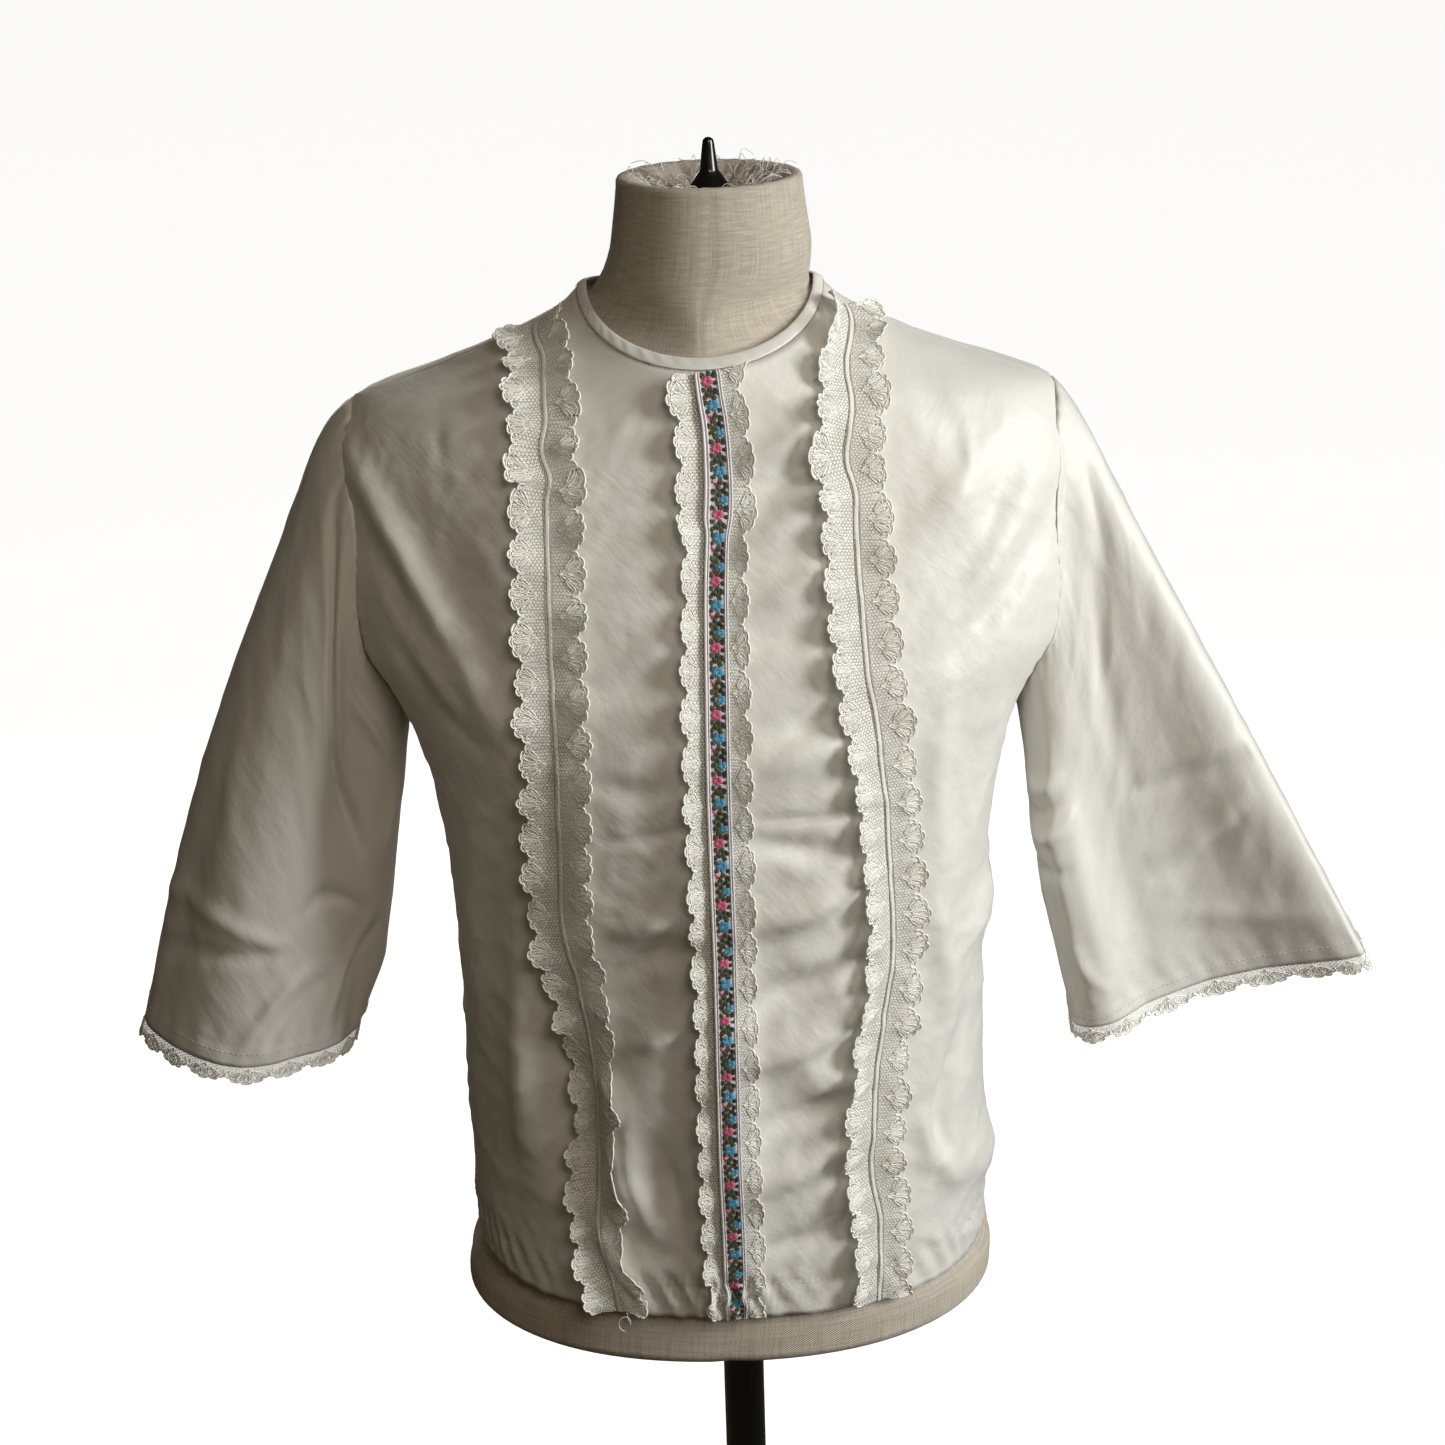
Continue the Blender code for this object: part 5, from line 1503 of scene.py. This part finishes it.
def build_cuff_lace():
    """The scalloped edging round both sleeve hems."""
    for number, name in enumerate(SLEEVES):
        points, normals, _, _ = sleeve_of(name)
        edge = wrapped(points[-1])
        down = unit(edge - wrapped(points[-4]))
        rings = np.stack([edge - down * 0.004, edge, edge + down * 0.02], 1)
        ups = np.stack([wrapped(normals[-1])] * 3, 1)
        length = run_of(edge)[-1]

        def place(along, off, lift, rings=rings, ups=ups, length=length):
            row = np.mod(along, length) / length * (len(rings) - 1)
            column = np.where(off < 0, (off + 0.004) / 0.004, 1 + off / 0.02)
            row, column, lift = np.broadcast_arrays(row, column, lift)
            return bilinear(rings, row, column) + bilinear(ups, row, column) * lift[..., None]

        edges = (CUFF_ROOT, CUFF_VALLEY, CUFF_TIP)
        lace = CuffLace(place, length, CUFF_SCALLOPS, *edges, CUFF_WAVE, no_curl, 60 + number)
        label = name.replace("sleeve", "cuff_lace")
        net, cords = lace_objects(label, lace, (1,))
        ride(net, label)
        ride(cords)


class CuffLace(Lace):
    """Edging with shells on one side only, closed round the sleeve."""

    def middles(self, side):
        return (np.arange(self.shells) + 0.5) * self.pitch

    def cut(self, along):
        return along

    def lift(self, along, off, side):
        k = np.clip((np.abs(off) - self.root) / (self.tip - self.root), 0, 1.2)
        turns = along / self.pitch * 2 * math.pi
        return self.wave * np.sin(turns * 0.5 + self.phase[side][0]) * k - 0.0001


def blossom(x, y, reach, colour, heart):
    """A flower of five petals, three stitches a petal, round its heart."""
    rows = []
    for petal in range(5):
        for beside in (-0.30, 0.0, 0.30):
            turn = petal * 2 * math.pi / 5 + 0.3 + beside
            spot = (x + 0.58 * reach * math.cos(turn), y + 0.58 * reach * math.sin(turn))
            rows.append((*spot, math.degrees(turn), 1.1 * reach, 0.5 * reach, colour))
    rows.append((x, y, 20, 0.55 * reach, 0.38 * reach, heart))
    return rows


def leaf(x, y, lean, length, colour):
    """A leaf of three stitches side by side."""
    rows = []
    turn = math.radians(lean)
    for beside, share in ((-0.65, 1.2), (0.0, 1.6), (0.65, 1.2)):
        spot = (x - beside * math.sin(turn), y + beside * math.cos(turn))
        rows.append((*spot, lean + beside * 22, length * share * 1.12, 1.65, colour))
    return rows


def ribbon_chart():
    """One repeat of the ribbon's stitches, in millimetres down from a rose.

    Each row is x, y, lean in degrees, length, width, thread.
    """
    rows = blossom(-0.8, 0.2, 3.0, "pink", "deep_pink") + blossom(0.2, 13.2, 3.3, "blue", "pale_blue")
    rows += blossom(1.9, 28.2, 2.5, "blue", "pale_blue")
    rows += [(-3.2, 18.4, 60, 2.2, 1.5, "pink"), (-2.4, 19.6, 110, 2.2, 1.4, "deep_pink")]
    # x, y, lean, length of the leaves of each thread
    dark = (
        ((3.2, -2.4, 60, 1.8), (3.3, 1.4, 110, 1.6), (2.9, 6.0, 60, 2.6), (3.4, 16.2, 50, 2.0)),
        ((3.1, 20.4, 60, 2.8), (1.9, 22.9, 120, 2.8), (3.3, 25.0, 50, 2.0), (3.2, 32.2, 110, 2.0)),
    )
    green = (
        ((0.4, 4.4, 95, 2.8), (-1.5, 6.8, 110, 2.8), (1.6, 9.3, 60, 2.2), (-3.3, 11.4, 60, 2.0)),
        ((-1.0, 21.4, 80, 2.8), (-0.6, 25.2, 100, 2.8), (-2.4, 27.6, 120, 2.8), (0.5, 32.4, 80, 2.6)),
    )
    brown = (
        ((-3.0, 4.2, 50, 2.2), (0.9, 7.4, 70, 2.4), (-3.4, 8.6, 80, 1.8), (0.4, 18.4, 95, 2.8)),
        ((-2.9, 24.0, 50, 2.4), (-1.0, 30.2, 60, 2.8), (-3.1, 32.8, 70, 2.2), (-3.0, 15.8, 110, 2.0)),
    )
    for colour, leaves in (("dark", dark), ("green", green), ("brown", brown)):
        for place in (*leaves[0], *leaves[1]):
            rows += leaf(*place, colour)
    return rows


def build_ribbon():
    """The woven ribbon down the centre front, its corded edges and its embroidered flowers."""
    strip = strip_of(CENTRE_LACE)
    along = np.linspace(0, strip.length, 440)[:, None]
    share = np.linspace(-1, 1, 9)
    sway = 0.00015 * np.sin(along * 130) + 0.0001 * np.sin(along * 310 + share * 2)
    points = strip.at(along, share * RIBBON_HALF_WIDTH, RIBBON_LIFT + sway - 0.0004 * np.abs(share) ** 4)
    sizes = (share * RIBBON_HALF_WIDTH, along)
    ribbon = grid_object("flower_ribbon_ground", points, material_of("ribbon"), *sizes)
    thicken(ribbon, 0.0004)
    ride(ribbon, "floral_ribbon")

    cords = []
    rows = along[:, 0]
    for off, radius in ((-0.0062, 0.0008), (-0.0047, 0.00045), (0.0050, 0.0004), (0.0065, 0.00045)):
        line, up = strip.up(rows, off + 0 * rows, RIBBON_LIFT + 0.0002)
        beat = radius * (1 + 0.18 * np.sin(rows * 2 * math.pi / 0.0022))
        cords.append(tubes(line[None], up[None], beat[None], sides=6))
    edge = new_object("flower_ribbon_cords", *joined(cords), material_of("ribbon_cord"))
    ride(edge)

    chart = ribbon_chart()
    # the first rose is 5 mm below the binding
    starts = strip.length - 0.005 - np.arange(-1, int(strip.length / RIBBON_REPEAT) + 1) * RIBBON_REPEAT
    for colour in sorted({row[-1] for row in chart}):
        table = np.array([row[:-1] for row in chart if row[-1] == colour])
        x, y, lean, length, width = table.T
        jitter = RNG.normal(0, 0.12, (len(starts), 2, len(x)))
        at_along = starts[:, None] - (y + jitter[:, 0]) / 1000
        at_off = (x + jitter[:, 1]) / 1000 + 0 * at_along
        keep = (at_along > 0.0015) & (at_along < strip.length - 0.001)
        sizes = (np.radians(lean), length / 1000, width / 1000)
        lean, length, width = (np.broadcast_to(size, at_along.shape)[keep] for size in sizes)
        at_along, at_off = at_along[keep], at_off[keep]
        lift = RIBBON_LIFT + 0.0001
        middle, up = strip.up(at_along, at_off, lift)
        across = strip.at(at_along, at_off + 0.001, lift) - middle
        ahead = strip.at(at_along + 0.001, at_off, lift) - middle
        way = across * np.cos(lean)[:, None] - ahead * np.sin(lean)[:, None]
        shape = stitches(middle, way, up, length, width, 0.0006)
        obj = new_object("flower_ribbon_" + colour, *shape, material_of(colour))
        ride(obj)


def build_sewing():
    """The machine stitches along the hems and the back opening, and the stray thread."""
    sewn = []
    for name in ("blouse_front", "blouse_back_right", "blouse_back_left"):
        panel = panel_of(name)
        row = np.argmin(np.abs(panel.from_hem[:, 40] - HEM_DEPTH))
        count = int(panel.across[row, -1] / STITCH_PITCH)
        u = np.linspace(panel.columns[0] + 0.01, panel.columns[-1] - 0.01, count)
        seams = [(u, panel.rows[row] + 0 * u, STITCH_LENGTH)]
        if name != "blouse_front":
            v = np.linspace(0.01, 0.985, 190)
            side = 1 if name.endswith("left") else -1
            seams.append((side * (0.04 + 0.04 * v**6), v, 0.0023))
        for u, v, length in seams:
            middle = panel.point(u, v, ON_SEAM + 0 * u)
            seam = (middle, np.gradient(middle, axis=0), panel.mixed(panel.normals, u, v))
            sewn.append(stitches(*seam, length, STITCH_WIDTH, STITCH_HEIGHT))
    thread = new_object("blouse_hem_stitches", *joined(sewn), material_of("sewing"))
    ride(thread)
    cuffs = []
    for name in SLEEVES:
        points, normals, _, down = sleeve_of(name)
        row = len(points) - 1 - int(SLEEVE_HEM / (down[-1, 0] / (len(points) - 1)))
        line = wrapped(points[row])
        run = run_of(line)
        at = np.arange(0, run[-1], STITCH_PITCH)
        middle = np.stack([np.interp(at, run, column) for column in line.T], 1)
        up = np.stack([np.interp(at, run, column) for column in wrapped(normals[row]).T], 1)
        seam = (middle + up * ON_SEAM, np.gradient(middle, axis=0), up)
        cuffs.append(stitches(*seam, STITCH_LENGTH, STITCH_WIDTH, STITCH_HEIGHT))
    thread = new_object("sleeve_hem_stitches", *joined(cuffs), material_of("sewing"))
    ride(thread)
    panel = panel_of("blouse_front")
    start = panel.point(np.array([-0.235]), np.array([0.004]))[0]
    turn = np.linspace(-0.5, 1.55, 40) * math.pi
    loop = (0.0035 * np.cos(turn) - 0.001, -0.0022 - 0.0004 * turn, 0.0045 * np.sin(turn) - 0.0075)
    loop = np.stack(loop, -1)
    line = start + loop
    line[:6] = np.linspace(start, line[6], 6, endpoint=False)
    up = np.broadcast_to(np.array([0.0, -1.0, 0.0]), line.shape)
    shape = tubes(line[None], up[None], 0.00028, sides=5)
    stray = new_object("loose_hem_thread", *shape, material_of("cord"))
    ride(stray)


def form_points(swing, height):
    """Points of the dress form's skin."""
    middle, half, front, back, power = section(FORM_SECTIONS, height)
    sin, cos = np.sin(swing), np.cos(swing)
    x = middle + np.sign(sin) * np.abs(sin) ** (2 / power) * half
    y = -np.sign(cos) * np.abs(cos) ** (2 / power)
    y = y * np.where(y < 0, front, back)
    return np.stack(np.broadcast_arrays(x, y, height), -1)


def build_form():
    """The padded linen form: its seamed skin, the gathered cloth on the neck's top and its frayed threads."""
    sides, rows = FORM_GRID
    low, high = FORM_SECTIONS[0][0], FORM_SECTIONS[-1][0]
    # closer rows round the rim
    rim = low + 0.02
    heights = np.concatenate([np.linspace(low, rim, 14)[:-1], np.linspace(rim, high, rows - 13)])
    turns = np.linspace(0, 2 * math.pi, sides, endpoint=False)
    height, swing = np.meshgrid(heights, turns, indexing="ij")
    skin = form_points(swing, height)
    normals = outward_normals(skin)
    for seam in (0.0, math.pi / 2, math.pi, 1.5 * math.pi):
        off = np.arctan2(np.sin(swing - seam), np.cos(swing - seam)) * 0.12
        skin = skin - normals * (0.0007 * np.exp(-((off / 0.0035) ** 2)))[..., None]
    pleat = bpy.context.scene.form_settings.pleat
    rng = np.random.default_rng(3)
    phase = rng.uniform(0, 6.28, 4)
    gathers = np.sin(turns * 27 + 2.2 * np.sin(turns * 4 + phase[0]) + phase[1])
    gathers = gathers + 0.6 * np.sin(turns * 41 + phase[2])
    # the gathered cap: radius, height, share of the gathers
    cap = ((0.0517, 1.1378, 0.0), (0.0508, 1.1396, 0.1), (0.0490, 1.1402, 0.2), (0.0462, 1.1400, 0.4))
    cap = cap + ((0.0435, 1.1390, 0.7), (0.0405, 1.1372, 1.0), (0.0370, 1.1350, 1.3), (0.0330, 1.1328, 1.5))
    cap = cap + ((0.0290, 1.1310, 1.4), (0.0245, 1.1295, 1.1), (0.0200, 1.1284, 0.7), (0.0150, 1.1278, 0.3))
    top = []
    for radius, z, share in cap:
        reach = radius * (1 + 0.01 * share * gathers)
        ring = (reach * np.sin(turns), -reach * np.cos(turns), z + gathers * pleat * share * 0.5)
        top.append(np.stack(ring, -1))
    under = []
    for share in (0.12, 0.5, 0.85):
        under.append(skin[0] * (share, share, 1) + np.array([-0.007 * (1 - share), 0, 0.0006]))
    points = np.concatenate([np.stack(under), skin, np.stack(top)])
    # the linen's grain runs level and upright, so its UVs are turn and height
    across = np.concatenate([turns, [2 * math.pi]]) * FORM_RADIUS
    along = run_of(points[:, 0])[:, None]
    obj = grid_object("dress_form_linen", points, material_of("linen"), across, along, closed=True)
    outward = points[40, 0] - points[40].mean(axis=0)
    if np.dot(outward, obj.data.polygons[40 * sides].normal) < 0:
        obj.data.flip_normals()
    obj.data.set_sharp_from_angle(angle=math.radians(60))
    ride(obj, "form_body")

    lines = []
    for _ in range(150):
        swing_at = rng.uniform(0, 2 * math.pi)
        radius = rng.uniform(0.020, 0.043)
        t = np.linspace(0, 1, 8)
        bend = rng.normal(0, 0.5)
        reach = rng.uniform(0.004, 0.016)
        way = swing_at + rng.normal(0, 0.9)
        x = radius * math.sin(swing_at) + reach * t * np.sin(way + bend * t)
        y = -radius * math.cos(swing_at) - reach * t * np.cos(way + bend * t)
        floor = np.interp(np.hypot(x, y), (0.015, 0.029, 0.041, 0.049), (1.128, 1.131, 1.1378, 1.1405))
        z = floor + 0.0012 + rng.uniform(0.0005, 0.005) * np.sin(t * math.pi)
        lines.append(np.stack([x, y, z], -1))
    lines = np.array(lines)
    up = np.broadcast_to(np.array([0.0, 0.0, 1.0]), lines.shape)
    fray = new_object("neck_frayed_threads", *tubes(lines, up, 0.00022), material_of("linen_thread"))
    ride(fray)


def turned_object(name, profile, material, sides):
    """A solid of revolution about the upright axis, from (radius, height) rows."""
    swing = np.linspace(0, 2 * math.pi, sides, endpoint=False)
    radius, height = np.array(profile, float).T
    radius = radius[:, None]
    points = (radius * np.cos(swing), radius * np.sin(swing), height[:, None])
    points = np.stack(np.broadcast_arrays(*points), -1)
    faces = quads(*points.shape[:2], True)
    return new_object(name, points, faces, material)


def rounded(profile, reach, steps):
    """A profile with each inner corner rounded."""
    rows = [np.array(profile[0])]
    for before, at, after in zip(profile[:-2], profile[1:-1], profile[2:]):
        before, at, after = (np.array(p, float) for p in (before, at, after))
        into = min(reach, np.linalg.norm(at - before) / 2.1)
        out = min(reach, np.linalg.norm(after - at) / 2.1)
        first = at + unit(before - at) * into
        last = at + unit(after - at) * out
        for t in np.linspace(0, 1, steps):
            rows.append(first * (1 - t) ** 2 + at * 2 * t * (1 - t) + last * t**2)
    rows.append(np.array(profile[-1]))
    return rows


def build_stand():
    """The pole, base and spike in black gloss paint. The profiles are radius and height."""
    paint = material_of("paint")
    base = (
        (0.0005, 0.0002), (0.167, 0.0002), (0.170, 0.003), (0.170, 0.009),
        (0.164, 0.012), (0.1054, 0.020), (0.0476, 0.030), (0.024, 0.040),
        (0.024, 0.069), (0.022, 0.070), (0.013, 0.0701),
    )
    spike = (
        (0.0120, 1.1270), (0.0115, 1.1335), (0.0085, 1.1375), (0.0052, 1.1420),
        (0.0036, 1.1550), (0.0030, 1.1588), (0.0012, 1.1600), (0.0001, 1.1601),
    )
    # node, profile, reach and steps of its rounded corners, sides
    rows = (("stand_base", base, 0.004, 5, 160), ("neck_spike", spike, 0.001, 4, 48))
    for node, profile, reach, steps, sides in rows:
        obj = turned_object(node + "_turned", rounded(profile, reach, steps), paint, sides)
        ride(obj, node)
    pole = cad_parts["stand_pole"]
    pole.data.materials.clear()
    pole.data.materials.append(paint)


def build_button():
    """The pearly button at the top of the back opening, with its thread loop."""
    panel = panel_of("blouse_back_left")
    at = (np.array([0.0]), np.array([BUTTON_AT]))
    place = panel.point(*at)[0]
    normal = unit(panel.mixed(panel.normals, *at)[0])
    side = unit(np.cross(normal, (0.0, 0.0, 1.0)))
    up = np.cross(side, normal)
    # shares of the button's radius and thickness, from the middle of its back round to its face
    profile = ((0.02, 0.02), (0.7, 0.0), (1.0, 0.35), (0.98, 0.85))
    profile = profile + ((0.82, 1.0), (0.62, 0.8), (0.55, 0.62), (0.01, 0.6))
    rows = np.array(rounded([(r * BUTTON_RADIUS, z * BUTTON_THICK) for r, z in profile], 0.0004, 4))
    swing = np.linspace(0, 2 * math.pi, 40, endpoint=False)
    spread = side * np.cos(swing)[:, None] + up * np.sin(swing)[:, None]
    reach, rise = rows.T[..., None, None]
    points = place + normal * (rise + ON_CLOTH) + spread[None] * reach
    obj = new_object("back_button_pearl", points, quads(*points.shape[:2], True), material_of("pearl"))
    ride(obj, "back_button")
    lines = []
    for offset in (-0.0008, 0.0008):
        t = np.linspace(-1, 1, 9)
        arch = (BUTTON_THICK * 0.62 + 0.0005 * (1 - t**2) + ON_CLOTH)[:, None]
        lines.append(place + normal * arch + side * offset + up * t[:, None] * 0.0014)
    loop_at = np.linspace(-0.5, 1.5, 30) * math.pi
    loop = place + normal * (ON_CLOTH + 0.0012) + side * (BUTTON_RADIUS + 0.0006) * np.cos(loop_at)[:, None]
    loop = loop + up * (BUTTON_RADIUS + 0.0006) * np.sin(loop_at)[:, None]
    lines = np.array(lines)
    ups = np.broadcast_to(normal, lines.shape)
    round_ups = np.broadcast_to(normal, (1, *loop.shape))
    shape = joined([tubes(lines, ups, 0.0003), tubes(loop[None], round_ups, 0.00045)])
    thread = new_object("back_button_thread", *shape, material_of("sewing"))
    ride(thread)


def build_stage():
    """The pale floor, the soft light from the viewer's right and the camera."""
    studio = bpy.context.scene.studio_settings
    glow = {"Emission_Color": (1.0, 1.0, 1.0, 1.0), "Emission_Strength": 0.93}
    material, _, _ = new_material("matt_floor_paint", shade(studio.floor, 0.5), 0.9, **glow)
    profile = ((0.001, 0.0), (2.0, 0.0), (14.0, 0.0), (18.0, 2.0), (19.0, 9.0))
    floor = turned_object("studio_floor", profile, material, 96)
    floor.visible_diffuse = False
    floor.visible_glossy = False

    world = bpy.data.worlds.new("studio_room")
    bpy.context.scene.world = world
    world.use_nodes = True
    back = world.node_tree.nodes["Background"]
    back.inputs["Color"].default_value = (1.0, 0.80, 0.54, 1.0)
    back.inputs["Strength"].default_value = studio.fill

    aim = Vector((0.0, 0.0, 0.84))
    # name, degrees round from the front, degrees up, width, height, power, colour
    rows = (
        ("window_light", 65.0, 20.0, 0.7, 1.3, studio.key, (0.95, 0.985, 1.0)),
        ("room_reflection", 18.0, 36.0, 0.9, 0.9, studio.key * 0.22, (1.0, 0.91, 0.75)),
        ("wall_behind", 186.0, 4.0, 1.4, 1.2, studio.key * 0.30, (1.0, 0.95, 0.88)),
    )
    for name, turn_deg, rise_deg, width, height, power, colour in rows:
        turn, rise = math.radians(turn_deg), math.radians(rise_deg)
        way = (math.sin(turn) * math.cos(rise), -math.cos(turn) * math.cos(rise), math.sin(rise))
        place = aim + Vector(way) * LIGHT_DISTANCE
        data = bpy.data.lights.new(name, "AREA")
        data.shape = "RECTANGLE"
        data.size = width
        data.size_y = height
        data.energy = power
        data.color = colour
        light = bpy.data.objects.new(name, data)
        light.location = place
        light.rotation_mode = "QUATERNION"
        light.rotation_quaternion = (aim - place).to_track_quat("-Z", "Y")
        bpy.context.scene.collection.objects.link(light)

    data = bpy.data.cameras.new("photo_camera")
    data.sensor_width = SENSOR_MM
    data.lens = SENSOR_MM * FOCAL_PX / FRAME_PX
    data.clip_end = 60.0
    camera = bpy.data.objects.new("photo_camera", data)
    bpy.context.scene.collection.objects.link(camera)
    forward = Vector((0.0, math.cos(CAMERA_PITCH), -math.sin(CAMERA_PITCH)))
    level = Vector((1.0, 0.0, 0.0))
    above = level.cross(forward)
    right = level * math.cos(CAMERA_ROLL) + above * math.sin(CAMERA_ROLL)
    top = above * math.cos(CAMERA_ROLL) - level * math.sin(CAMERA_ROLL)
    turn = Matrix((right, top, -forward)).transposed().to_4x4()
    camera.matrix_world = Matrix.Translation(CAMERA_AT) @ turn
    bpy.context.scene.camera = camera
    bpy.context.scene.view_settings.view_transform = "Standard"


class Piece:
    """What every operator of the blouse shares."""

    bl_options = {"REGISTER", "UNDO"}

    def execute(self, context):
        self.build()
        return {"FINISHED"}


class BLOUSE_OT_form(Piece, bpy.types.Operator):
    """Builds the linen dress form"""

    bl_idname = "blouse.form"
    bl_label = "Dress form"
    build = staticmethod(build_form)


class BLOUSE_OT_body(Piece, bpy.types.Operator):
    """Builds the front and the two backs"""

    bl_idname = "blouse.body"
    bl_label = "Body panels"
    build = staticmethod(build_body)


class BLOUSE_OT_sleeves(Piece, bpy.types.Operator):
    """Builds both sleeves"""

    bl_idname = "blouse.sleeves"
    bl_label = "Sleeves"
    build = staticmethod(build_sleeves)


class BLOUSE_OT_binding(Piece, bpy.types.Operator):
    """Builds the neck binding"""

    bl_idname = "blouse.binding"
    bl_label = "Neck binding"
    build = staticmethod(build_binding)


class BLOUSE_OT_side_lace(Piece, bpy.types.Operator):
    """Builds the two side lace bands"""

    bl_idname = "blouse.side_lace"
    bl_label = "Side lace"
    build = staticmethod(build_side_lace)


class BLOUSE_OT_centre_lace(Piece, bpy.types.Operator):
    """Builds the lace under the ribbon"""

    bl_idname = "blouse.centre_lace"
    bl_label = "Centre lace"
    build = staticmethod(build_centre_lace)


class BLOUSE_OT_ribbon(Piece, bpy.types.Operator):
    """Builds the flowered ribbon"""

    bl_idname = "blouse.ribbon"
    bl_label = "Flowered ribbon"
    build = staticmethod(build_ribbon)


class BLOUSE_OT_cuff_lace(Piece, bpy.types.Operator):
    """Builds the lace round the sleeve hems"""

    bl_idname = "blouse.cuff_lace"
    bl_label = "Cuff lace"
    build = staticmethod(build_cuff_lace)


class BLOUSE_OT_sewing(Piece, bpy.types.Operator):
    """Sews the hems and the back opening"""

    bl_idname = "blouse.sewing"
    bl_label = "Sewing"
    build = staticmethod(build_sewing)


class BLOUSE_OT_button(Piece, bpy.types.Operator):
    """Builds the back button"""

    bl_idname = "blouse.button"
    bl_label = "Back button"
    build = staticmethod(build_button)


class BLOUSE_OT_stand(Piece, bpy.types.Operator):
    """Builds the pole, base and spike"""

    bl_idname = "blouse.stand"
    bl_label = "Stand"
    build = staticmethod(build_stand)


class BLOUSE_OT_stage(Piece, bpy.types.Operator):
    """Builds the floor, lights and camera"""

    bl_idname = "blouse.stage"
    bl_label = "Studio"
    build = staticmethod(build_stage)


OPERATORS = (
    BLOUSE_OT_form,
    BLOUSE_OT_body,
    BLOUSE_OT_sleeves,
    BLOUSE_OT_binding,
    BLOUSE_OT_side_lace,
    BLOUSE_OT_centre_lace,
    BLOUSE_OT_ribbon,
    BLOUSE_OT_cuff_lace,
    BLOUSE_OT_sewing,
    BLOUSE_OT_button,
    BLOUSE_OT_stand,
    BLOUSE_OT_stage,
)


class BLOUSE_PT_panel(bpy.types.Panel):
    """Lists the blouse's pieces in the sidebar"""

    bl_idname = "BLOUSE_PT_panel"
    bl_label = "Lace blouse"
    bl_space_type = "VIEW_3D"
    bl_region_type = "UI"
    bl_category = "Blouse"

    def draw(self, context):
        for operator in OPERATORS:
            self.layout.operator(operator.bl_idname)
        for settings in ("blouse_settings", "form_settings", "studio_settings"):
            group = getattr(context.scene, settings)
            for name in group.__annotations__:
                self.layout.prop(group, name)


SETTINGS = {
    "blouse_settings": BlouseSettings,
    "form_settings": FormSettings,
    "studio_settings": StudioSettings,
}


def register():
    for name, group in SETTINGS.items():
        bpy.utils.register_class(group)
        setattr(bpy.types.Scene, name, bpy.props.PointerProperty(type=group))
    for kind in (*OPERATORS, BLOUSE_PT_panel):
        bpy.utils.register_class(kind)


def unregister():
    for kind in (*OPERATORS, BLOUSE_PT_panel):
        bpy.utils.unregister_class(kind)
    for name, group in SETTINGS.items():
        delattr(bpy.types.Scene, name)
        bpy.utils.unregister_class(group)


def main():
    register()
    for operator in OPERATORS:
        group, name = operator.bl_idname.split(".")
        getattr(getattr(bpy.ops, group), name)()


if __name__ == "__main__":
    main()
